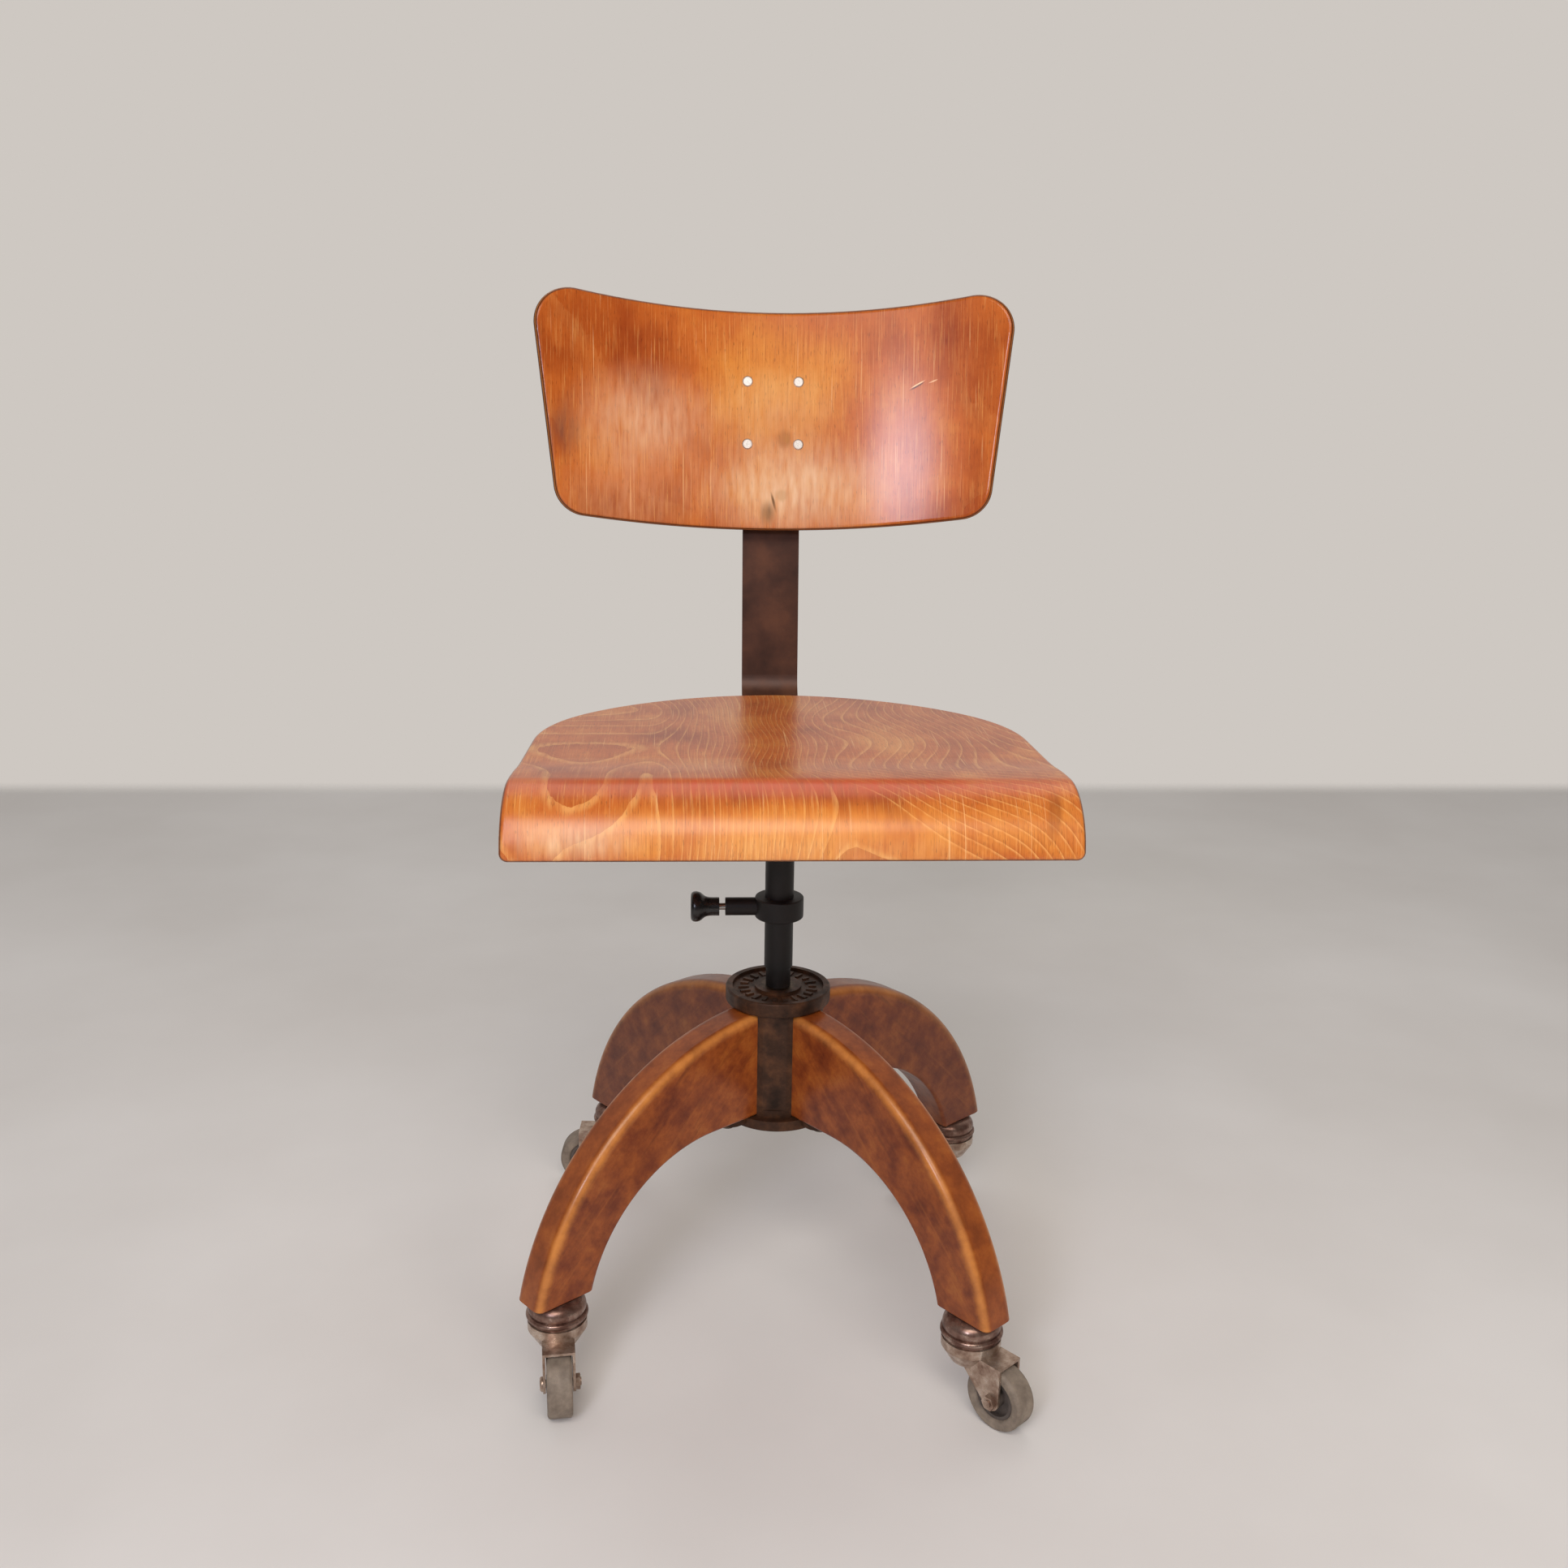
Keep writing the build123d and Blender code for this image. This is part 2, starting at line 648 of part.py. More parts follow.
# Steel plate under the seat with a socket for the tube
with BuildPart() as seat_plate:
    socket_mid_y = (socket_front_y + socket_rear_y) / 2
    with BuildSketch(Plane.XY.offset(socket_bottom_z)):
        with Locations((0, socket_mid_y)):
            RectangleRounded(socket_w, socket_rear_y - socket_front_y, socket_corner_r)
        with Locations((0, seat_screw_mid_y)):
            with GridLocations(seat_screw_dx, seat_screw_dy, 2, seat_screw_rows):
                Circle(seat_screw_r + fit_gap, mode=Mode.SUBTRACT)
        with Locations((0, bar_bolt_mid_y)):
            with GridLocations(bar_bolt_pitch, bar_bolt_pitch, 1, bar_bolt_count):
                Circle(bar_bolt_r + fit_gap, mode=Mode.SUBTRACT)
    extrude(amount=socket_t)
    with BuildSketch(Plane.XY.offset(socket_bottom_z)):
        Circle(socket_boss_r)
        Circle(tube_r + fit_gap, mode=Mode.SUBTRACT)
    extrude(amount=-socket_boss_h)
save(seat_plate, "seat_plate")

# Wood screws from the plate up into the seat
with BuildPart() as seat_screws:
    with BuildSketch(Plane.XY.offset(socket_bottom_z)):
        with Locations((0, seat_screw_mid_y)):
            with GridLocations(seat_screw_dx, seat_screw_dy, 2, seat_screw_rows):
                Circle(seat_screw_r)
    extrude(amount=socket_t + seat_screw_depth)
    with BuildSketch(Plane.XY.offset(socket_bottom_z)):
        with Locations((0, seat_screw_mid_y)):
            with GridLocations(seat_screw_dx, seat_screw_dy, 2, seat_screw_rows):
                Circle(seat_screw_head_r)
    extrude(amount=-seat_screw_head_h)
    with BuildSketch(Plane.XY.offset(socket_bottom_z - seat_screw_head_h)):
        with Locations((0, seat_screw_mid_y)):
            with GridLocations(seat_screw_dx, seat_screw_dy, 2, seat_screw_rows):
                Rectangle(screw_slot_in_head_radii * seat_screw_head_r, screw_slot_w)
    extrude(amount=screw_slot_depth, mode=Mode.SUBTRACT)
save(seat_screws, "seat_screws")

# Backrest frame: directions in the tilted panel, and the hinge pivot behind it
back_up = Vector(0, sin(radians(back_tilt)), cos(radians(back_tilt)))
back_rear = Vector(0, cos(radians(back_tilt)), -sin(radians(back_tilt)))
back_center = Vector(0, back_y, back_z)
back_section = Plane(origin=back_center, x_dir=(1, 0, 0), z_dir=back_up)
back_face = Plane(origin=back_center, x_dir=(1, 0, 0), z_dir=back_rear * -1)
pivot_depth = back_ply + bracket_t + eye_gap + eye_r
pivot = back_center + back_rear * pivot_depth + back_up * rivet_lift

# Flat bar: bolted under the seat, bent up behind it and rolled into an eye at the top
bar_mid_z = bar_bottom_z + bar_t / 2
bend_mid_r = bar_bend_r + bar_t / 2
bend_end_z = bar_mid_z + bend_mid_r * (1 - sin(radians(bar_lean)))
bend_end_y = pivot.Y - (pivot.Z - bend_end_z) * tan(radians(bar_lean))
bend_start_y = bend_end_y - bend_mid_r * cos(radians(bar_lean))
with BuildPart() as back_bar:
    with BuildLine(Plane.YZ):
        run = Line((bar_start_y, bar_mid_z), (bend_start_y, bar_mid_z))
        bend = JernArc(run @ 1, (1, 0), bend_mid_r, right_angle - bar_lean)
        Line(bend @ 1, (pivot.Y, pivot.Z))
    with BuildSketch(Plane((0, bar_start_y, bar_mid_z), x_dir=(1, 0, 0), z_dir=(0, 1, 0))):
        Rectangle(bar_w, bar_t)
    sweep()
    with BuildSketch(Plane.YZ):
        with Locations((pivot.Y, pivot.Z)):
            Circle(eye_r)
    extrude(amount=bar_w / 2, both=True)
    with BuildSketch(Plane.YZ):
        with Locations((pivot.Y, pivot.Z)):
            Circle(pivot_r + fit_gap)
    extrude(amount=bar_w, both=True, mode=Mode.SUBTRACT)
    with BuildSketch(Plane.XY.offset(bar_bottom_z)):
        with Locations((0, bar_bolt_mid_y)):
            with GridLocations(bar_bolt_pitch, bar_bolt_pitch, 1, bar_bolt_count):
                Circle(bar_bolt_r + fit_gap)
    extrude(amount=bar_t, mode=Mode.SUBTRACT)
save(back_bar, "back_bar")

# Hexagon bolts that clamp the bar to the seat plate
with BuildPart() as bar_bolts:
    with BuildSketch(Plane.XY.offset(bar_bottom_z)):
        with Locations((0, bar_bolt_mid_y)):
            with GridLocations(bar_bolt_pitch, bar_bolt_pitch, 1, bar_bolt_count):
                Circle(bar_bolt_r)
    extrude(amount=bar_t + socket_t - face_gap)
    with BuildSketch(Plane.XY.offset(bar_bottom_z)):
        with Locations((0, bar_bolt_mid_y)):
            with GridLocations(bar_bolt_pitch, bar_bolt_pitch, 1, bar_bolt_count):
                RegularPolygon(bar_bolt_flats / 2, 6, major_radius=False)
    extrude(amount=-bar_bolt_head_h)
save(bar_bolts, "bar_bolts")

# Backrest shell: bent round the sitter's back and trimmed to its front outline
with BuildPart() as backrest_shell:
    with BuildSketch(back_section):
        with Locations((0, -back_curve_r)):
            Circle(back_curve_r + back_ply)
            Circle(back_curve_r, mode=Mode.SUBTRACT)
    extrude(amount=back_top_corner + back_bottom_mid, both=True)
    with BuildSketch(back_face.offset(-2 * back_ply)) as back_outline:
        with BuildLine():
            ThreePointArc(
                (-back_half_top, back_top_corner), (0, back_top_mid), (back_half_top, back_top_corner)
            )
            Line((back_half_top, back_top_corner), (back_half_bottom, -back_bottom_corner))
            ThreePointArc(
                (back_half_bottom, -back_bottom_corner),
                (0, -back_bottom_mid),
                (-back_half_bottom, -back_bottom_corner),
            )
            Line((-back_half_bottom, -back_bottom_corner), (-back_half_top, back_top_corner))
        make_face()
        fillet(back_outline.vertices().group_by(Axis.Y)[-1], back_top_corner_r)
        fillet(back_outline.vertices().group_by(Axis.Y)[0], back_bottom_corner_r)
    extrude(amount=back_half_top, mode=Mode.INTERSECT)
    rim = backrest_shell.edges().filter_by(lambda edge: edge.length > across_ply * back_ply)
    fillet(rim, back_edge_round)
    with BuildSketch(back_face):
        with Locations((0, rivet_lift)):
            with GridLocations(rivet_dx, rivet_dv, 2, 2):
                Circle(rivet_r + fit_gap)
    extrude(amount=2 * back_ply, both=True, mode=Mode.SUBTRACT)
    with BuildSketch(back_face.offset(-rivet_sink)):
        with Locations((0, rivet_lift)):
            with GridLocations(rivet_dx, rivet_dv, 2, 2):
                Circle(rivet_head_r + fit_gap)
    extrude(amount=back_ply, mode=Mode.SUBTRACT)
save(backrest_shell, "backrest_shell")

# Bracket behind the shell: a plate bent to the shell's back, with two ears for the pivot
bracket_back = back_ply + bracket_t
bracket_seat = bracket_back - rivet_sink
with BuildPart() as backrest_bracket:
    with BuildSketch(back_section):
        with Locations((0, -back_curve_r)):
            Circle(back_curve_r + bracket_back)
            Circle(back_curve_r + back_ply + fit_gap, mode=Mode.SUBTRACT)
    extrude(amount=bracket_h, both=True)
    with BuildSketch(back_face.offset(-2 * bracket_back)):
        with Locations((0, rivet_lift)):
            RectangleRounded(bracket_w, bracket_h, bracket_corner_r)
    extrude(amount=2 * bracket_back, mode=Mode.INTERSECT)
    ear_foot_mid = back_center + back_rear * (back_ply + bracket_t / 2) + back_up * rivet_lift
    ear_foot_low = ear_foot_mid - back_up * (ear_foot / 2)
    ear_foot_high = ear_foot_mid + back_up * (ear_foot / 2)
    for side in (1, -1):
        ear_x = side * (bar_w / 2 + face_gap)
        with BuildSketch(Plane.YZ.offset(ear_x)):
            with BuildLine():
                CenterArc((pivot.Y, pivot.Z), ear_r, 0, full_turn)
                Line((ear_foot_low.Y, ear_foot_low.Z), (ear_foot_high.Y, ear_foot_high.Z))
            make_hull()
        extrude(amount=side * ear_t)
    with BuildSketch(Plane.YZ):
        with Locations((pivot.Y, pivot.Z)):
            Circle(pivot_r + running_gap)
    extrude(amount=bracket_w, both=True, mode=Mode.SUBTRACT)
    with BuildSketch(back_face):
        with Locations((0, rivet_lift)):
            with GridLocations(rivet_dx, rivet_dv, 2, 2):
                Circle(rivet_r + fit_gap)
    extrude(amount=-2 * bracket_back, mode=Mode.SUBTRACT)
    with BuildSketch(back_face.offset(-bracket_seat)):
        with Locations((0, rivet_lift)):
            with GridLocations(rivet_dx, rivet_dv, 2, 2):
                Circle(rivet_head_r + fit_gap)
    extrude(amount=-bracket_t, mode=Mode.SUBTRACT)
save(backrest_bracket, "backrest_bracket")

# Rivets through shell and bracket, with a low dome on each side
with BuildPart() as backrest_rivets:
    with BuildSketch(back_face.offset(-bracket_seat)):
        with Locations((0, rivet_lift)):
            with GridLocations(rivet_dx, rivet_dv, 2, 2):
                Circle(rivet_r)
    extrude(amount=bracket_seat - rivet_sink)
    with BuildSketch(back_face.offset(-rivet_sink)):
        with Locations((0, rivet_lift)):
            with GridLocations(rivet_dx, rivet_dv, 2, 2):
                Circle(rivet_head_r)
    extrude(amount=rivet_head_h, taper=rivet_dome_slope)
    with BuildSketch(back_face.offset(-bracket_seat)):
        with Locations((0, rivet_lift)):
            with GridLocations(rivet_dx, rivet_dv, 2, 2):
                Circle(rivet_head_r)
    extrude(amount=-rivet_head_h, taper=rivet_dome_slope)
save(backrest_rivets, "backrest_rivets")

# Pivot pin, tight in the bar's eye, with a head outside each ear
with BuildPart() as pivot_pin:
    pin_half = bar_w / 2 + ear_t + 2 * face_gap
    with BuildSketch(Plane.YZ):
        with Locations((pivot.Y, pivot.Z)):
            Circle(pivot_r)
    extrude(amount=pin_half, both=True)
    for side in (1, -1):
        with BuildSketch(Plane.YZ.offset(side * pin_half)):
            with Locations((pivot.Y, pivot.Z)):
                Circle(pivot_head_r)
        extrude(amount=side * pivot_head_h)
save(pivot_pin, "pivot_pin")


# One swivel caster: a fixed cup with its stem, and a fork that turns under it with a wheel
def make_caster(corner, leg_angle, trail_angle, nut_hand):
    foot = heading(leg_angle) * caster_r
    trail = heading(trail_angle)
    swivel = Plane(origin=foot, x_dir=trail, z_dir=(0, 0, 1))
    side = upright(foot, trail)
    across = side.z_dir
    swivel_axis = Axis(foot, (0, 0, 1))
    axle_center = foot + trail * caster_trail + Vector(0, 0, wheel_r)
    axle_axis = Axis(axle_center, across)
    wheel_plane = upright(axle_center, across)
    nut_side = across * nut_hand
    cup_bottom_z = foot_z - cup_height
    bead_top_z = foot_z - cup_dome_drop
    bead_bottom_z = bead_top_z - 2 * cup_bead_r
    race_top_z = cup_bottom_z - race_gap
    race_bottom_z = race_top_z - race_plate_t
    head_top_z = race_bottom_z - face_gap
    cheek_out = cheek_gap / 2 + fork_t

    with BuildPart() as caster_top:
        with BuildSketch(side):
            with BuildLine():
                Polyline(
                    (cup_top_r, foot_z),
                    (stem_r, foot_z),
                    (stem_r, foot_z + stem_length - stem_chamfer),
                    (stem_r - stem_chamfer, foot_z + stem_length),
                    (0, foot_z + stem_length),
                    (0, head_top_z - kingpin_head_h),
                    (kingpin_head_r, head_top_z - kingpin_head_h),
                    (kingpin_head_r, head_top_z),
                    (kingpin_r, head_top_z),
                    (kingpin_r, cup_bottom_z),
                    (cup_r - cup_bead_r, cup_bottom_z),
                    (cup_r - cup_bead_r, bead_bottom_z),
                )
                ThreePointArc(
                    (cup_r - cup_bead_r, bead_bottom_z),
                    (cup_r, bead_top_z - cup_bead_r),
                    (cup_r - cup_bead_r, bead_top_z),
                )
                TangentArc((cup_top_r, foot_z), (cup_r - cup_bead_r, bead_top_z), tangent=(1, 0))
            make_face()
        revolve(axis=swivel_axis)
    save(caster_top, f"caster_top_{corner}")

    with BuildPart() as caster_fork:
        skirt_slope = (race_r - skirt_foot_r) / (race_bottom_z - skirt_foot_z)
        with BuildSketch(side):
            with BuildLine():
                Polyline(
                    (kingpin_r + running_gap, race_top_z),
                    (race_r - race_lip_t, race_top_z),
                    (race_r - race_lip_t, cup_bottom_z - face_gap),
                    (race_r, cup_bottom_z - face_gap),
                    (race_r, race_bottom_z),
                    (skirt_foot_r, skirt_foot_z),
                    (skirt_foot_r - fork_t, skirt_foot_z),
                    (race_r - fork_t - fork_t * skirt_slope, race_bottom_z),
                    (kingpin_r + running_gap, race_bottom_z),
                    close=True,
                )
            make_face()
        revolve(axis=swivel_axis)
        for hand in (1, -1):
            cheek = Plane(origin=side.origin + across * hand * cheek_gap / 2, x_dir=trail, z_dir=across)
            with BuildSketch(cheek):
                with BuildLine():
                    CenterArc((caster_trail, wheel_r), axle_eye_r, 0, full_turn)
                    Line((-cheek_front, race_bottom_z), (hood_reach, race_bottom_z))
                make_hull()
            extrude(amount=hand * fork_t)
        with BuildSketch(swivel.offset(race_bottom_z - hood_drop)):
            with Locations(((kingpin_head_r + hood_reach) / 2 + fork_t, 0)):
                Rectangle(hood_reach - kingpin_head_r - 2 * fork_t, 2 * cheek_out)
        extrude(amount=hood_drop)
        with BuildSketch(swivel):
            with Locations((kingpin_head_r + fork_t + hood_reach, 0)):
                Rectangle(2 * hood_reach, cheek_gap)
        extrude(amount=race_bottom_z - hood_drop, mode=Mode.SUBTRACT)
        with BuildSketch(swivel):
            Circle(kingpin_head_r + face_gap)
        extrude(amount=race_bottom_z, mode=Mode.SUBTRACT)
        with BuildSketch(side):
            with Locations((caster_trail, wheel_r)):
                Circle(axle_r + fit_gap)
        extrude(amount=2 * cheek_out, both=True, mode=Mode.SUBTRACT)
    save(caster_fork, f"caster_fork_{corner}")

    with BuildPart(swivel.offset(race_top_z + race_gap / 2)) as caster_balls:
        with PolarLocations(race_ball_circle_r, race_ball_count):
            Sphere(race_ball_r)
    save(caster_balls, f"caster_balls_{corner}")

    with BuildPart() as axle_bolt:
        with BuildSketch(upright(axle_center, nut_side)):
            with BuildLine():
                Polyline(
                    (-cheek_out - axle_head_h, 0),
                    (-cheek_out - axle_head_h, axle_head_r - axle_head_h / 2),
                    (-cheek_out - axle_head_h / 2, axle_head_r),
                    (-cheek_out, axle_head_r),
                    (-cheek_out, axle_r),
                    (cheek_out + axle_nut_h + axle_tail, axle_r),
                    (cheek_out + axle_nut_h + axle_tail, 0),
                    close=True,
                )
            make_face()
        revolve(axis=axle_axis)
    save(axle_bolt, f"axle_bolt_{corner}")

    with BuildPart() as axle_nut:
        with BuildSketch(Plane(origin=axle_center + nut_side * cheek_out, x_dir=trail, z_dir=nut_side)):
            RegularPolygon(axle_nut_flats / 2, 6, major_radius=False)
            Circle(axle_r + fit_gap, mode=Mode.SUBTRACT)
        extrude(amount=axle_nut_h)
    save(axle_nut, f"axle_nut_{corner}")

    with BuildPart() as wheel_core:
        with BuildSketch(wheel_plane):
            with BuildLine():
                Polyline(
                    (0, core_r),
                    (core_rim_w / 2, core_r),
                    (core_rim_w / 2, core_r - core_rim_t),
                    (core_web_t / 2, core_r - core_rim_t),
                    (core_web_t / 2, core_boss_r),
                    (cheek_gap / 2 - face_gap, core_boss_r),
                    (cheek_gap / 2 - face_gap, axle_r + running_gap),
                    (0, axle_r + running_gap),
                )
                mirror(about=Plane.YZ)
            make_face()
        revolve(axis=axle_axis)
    save(wheel_core, f"wheel_core_{corner}")

    with BuildPart() as tyre:
        with BuildSketch(wheel_plane):
            with Locations((0, (wheel_r + core_r + fit_gap) / 2)):
                RectangleRounded(tyre_w, wheel_r - core_r - fit_gap, tyre_round)
        revolve(axis=axle_axis)
    save(tyre, f"tyre_{corner}")


for corner, quarter, trail_angle, nut_hand in corners:
    make_caster(corner, first_leg_angle + leg_spacing * quarter, trail_angle, nut_hand)
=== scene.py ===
import json
from math import cos, pi, radians, sin

import bmesh
import bpy
from mathutils import Matrix, Vector


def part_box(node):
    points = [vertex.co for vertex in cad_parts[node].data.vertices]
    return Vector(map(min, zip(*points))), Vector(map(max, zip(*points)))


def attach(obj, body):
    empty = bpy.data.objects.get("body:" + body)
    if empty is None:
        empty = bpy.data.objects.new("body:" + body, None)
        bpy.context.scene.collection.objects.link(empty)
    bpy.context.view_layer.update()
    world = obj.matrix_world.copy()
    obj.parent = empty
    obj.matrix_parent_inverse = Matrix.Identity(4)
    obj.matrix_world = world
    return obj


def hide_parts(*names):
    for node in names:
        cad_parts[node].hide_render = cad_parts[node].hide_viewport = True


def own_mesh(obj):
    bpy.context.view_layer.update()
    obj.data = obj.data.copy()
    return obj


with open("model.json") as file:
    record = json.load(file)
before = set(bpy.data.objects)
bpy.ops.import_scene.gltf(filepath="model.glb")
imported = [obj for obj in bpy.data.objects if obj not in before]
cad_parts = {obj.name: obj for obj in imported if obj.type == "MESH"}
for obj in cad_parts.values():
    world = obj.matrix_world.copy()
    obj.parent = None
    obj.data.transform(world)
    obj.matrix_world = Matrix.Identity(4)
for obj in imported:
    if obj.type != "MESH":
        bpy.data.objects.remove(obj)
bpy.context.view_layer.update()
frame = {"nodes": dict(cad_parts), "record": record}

# The looks of a wooden swivel desk chair: beech plywood seat and back, beech legs, a cast hub,
# a black column and nickel casters. Metres in the frame, millimetres inside the materials.
MM = 0.001

# Camera, as solved from the photograph, in metres and degrees, with its focal length in pixels
PICTURE_PX = 1932
FOCAL_PX = 1924.8
SENSOR_MM = 36.0
CAMERA_DISTANCE = 1.1811
CAMERA_HEIGHT = 0.7710
CHAIR_TURN = 3.403
CAMERA_PAN = 0.107
CAMERA_PITCH = 15.579
CAMERA_ROLL = 0.947

# Floor: half its side in metres, and in millimetres where it fades out and the size of its faint clouds
FLOOR_HALF = 4.0
FLOOR_FADE = (1510.0, 1600.0)
FLOOR_CLOUD = 420.0
FLOOR_TONES = [(0.3, "DAD6D3"), (0.7, "E6E3E1")]

# Backdrop: its colour, the soft light that it gives, and how dim it is in front of the chair, where it is
# dim up to the first of two headings and full from the second
BACKDROP_HEX = "CEC8C2"
SOFT_LIGHT_HEX = "FFFDFA"
SOFT_LIGHT = 0.27
FRONT_LEVEL = 0.14
FRONT_HEADINGS = (-0.3, 0.5)

# Seat profile, in millimetres: the roll at its front, the dish behind it and the ply
seat_low, seat_high = (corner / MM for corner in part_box("seat_shell"))
PLY = 9.0
ROLL_R = 46.0
RIDGE_Y = seat_low.y + ROLL_R
ROLL_CENTRE_Z = seat_high.z - ROLL_R
DISH_RUN = 66.0
mount_z = {mount["name"]: mount["pos_m"][2] / MM for mount in frame["record"]["mounts"]}
DISH_DEPTH = seat_high.z - mount_z["seat_top"]

# Backrest, in millimetres and degrees: its middle, its tilt and the radius that it is bent to
BACK_CENTRE = (0.0, 205.0, 709.0)
BACK_TILT = 9.0
BACK_R = 430.0

# Legs, in millimetres and degrees: their heading, the curve of their outer side and half their thickness
LEG_TURN = 39.0
LEG_BACK_R = 229.5
LEG_BACK_CENTRE = (24.0, 31.0)
LEG_HALF_T = 15.0

# Leg stain, in millimetres: the size of its mottle, and a streak's size across, along and through the plank
LEG_MOTTLE = 24.0
LEG_STREAK = (7.0, 90.0, 9.0)
LEG_STAIN = [(0.28, "54220E"), (0.43, "733416"), (0.57, "8C471C"), (0.72, "A05C26")]

# Leg wear and painted light, in millimetres: the depths below the outer side where its rub starts and is
# full, the same for its corners, how far a corner's rub and painted highlight lies inside the leg's side, how
# far from there it starts and is full, and how far behind the post the painted shade on the back legs starts
# and is full
LEG_OUTER_RUB = (7.0, 0.5)
LEG_CORNER_DEPTH = (9.0, 3.5)
LEG_CORNER_INSET = 2.0
LEG_CORNER_RUB_AND_HIGHLIGHT = (4.2, 0.2)
# Painted shade on the back legs: where it starts and is full
LEG_REAR_SHADE = (20.0, 70.0)

# Veneer grain: each pattern's width and length in millimetres, its detail and its roughness. The threads,
# hairs and flecks of beech are finer than this, and are drawn as coarse as they need to show.
VENEER_GRAIN = {
    "blotch": (55.0, 80.0, 5.0, 0.6),
    "bend": (120.0, 150.0, 0.0, 0.5),
    "jitter": (5.0, 26.0, 2.0, 0.5),
    "thread": (1.1, 45.0, 3.0, 0.65),
    "hair": (1.6, 90.0, 1.0, 0.5),
    "fleck": (0.8, 7.0, 1.0, 0.5),
}
# Veneer streaks: the grain that each follows, the levels where it starts and is full, and its share
VENEER_STREAKS = {
    "dark thread": ("thread", 0.47, 0.30, 0.38),
    "pale thread": ("thread", 0.55, 0.72, 0.38),
    "pale hair": ("hair", 0.67, 0.76, 0.5),
    "fleck": ("fleck", 0.63, 0.73, 0.5),
}
VENEER_STAIN = [(0.22, "6A270D"), (0.36, "984013"), (0.50, "C06324"), (0.62, "D58436"), (0.78, "E8AC62")]

# Veneer rings, as shares of the way from one to the next: how ragged they are, where the pale line starts
# and is full, and where the dark edge behind it has faded
RING_RAGGED = 0.15
RING_LINE = (0.76, 0.97)
RING_EDGE_END = 0.4
# Their strength, as shares of a full line: the dark edge, and a line at its faintest, with the levels of the
# jitter between which a line goes from its faintest to full
RING_EDGE = 0.7
RING_FAINT = 0.35
RING_FADE = (0.35, 0.6)

# Veneer rim, in millimetres: the depth of two plies, and the depths where the rim starts and is full
PLY_PAIR = 2.6
RIM_START = 0.2
RIM_FULL = 1.1
PLY_TONES = [(0.0, "3F1D0E"), (0.6, "9A5E2E")]


def paint(hex_code):
    """Linear colour of an sRGB hex value."""
    channels = [int(hex_code[start:start + 2], 16) / 255 for start in (0, 2, 4)]
    linear = [c / 12.92 if c <= 0.04045 else ((c + 0.055) / 1.055) ** 2.4 for c in channels]
    return (*linear, 1.0)


def add(tree, kind, inputs=None, **settings):
    """Adds a node with its settings. An input is a plain value, a socket, or a node's first output."""
    node = tree.nodes.new(kind)
    for name, value in settings.items():
        setattr(node, name, value)
    for socket, value in (inputs or {}).items():
        if isinstance(value, bpy.types.Node):
            value = value.outputs[0]
        if isinstance(value, bpy.types.NodeSocket):
            tree.links.new(value, node.inputs[socket])
        else:
            node.inputs[socket].default_value = value
    return node


def ramp_stops(ramp, stops):
    """Sets a colour ramp's stops: pairs of position and hex colour."""
    elements = ramp.color_ramp.elements
    while len(elements) < len(stops):
        elements.new(0.5)
    for element, (position, hex_code) in zip(elements, stops):
        element.position = position
        element.color = paint(hex_code)
    return ramp


def new_material(name):
    """A node material and its empty tree."""
    material = bpy.data.materials.new(name)
    material.use_nodes = True
    material.node_tree.nodes.clear()
    return material, material.node_tree


def overlaid(tree, colour, layers):
    """A colour with layers laid over it in turn: pairs of a mask and a hex colour."""
    for mask, hex_code in layers:
        mixed = add(tree, "ShaderNodeMix", {0: mask, 6: colour, 7: paint(hex_code)}, data_type="RGBA")
        colour = mixed.outputs[2]
    return colour


def place_mm(tree):
    """The surface point in millimetres in the part's frame."""
    coordinates = add(tree, "ShaderNodeTexCoord")
    return add(tree, "ShaderNodeVectorMath", {0: coordinates.outputs["Object"], "Scale": 1 / MM},
               operation="SCALE")


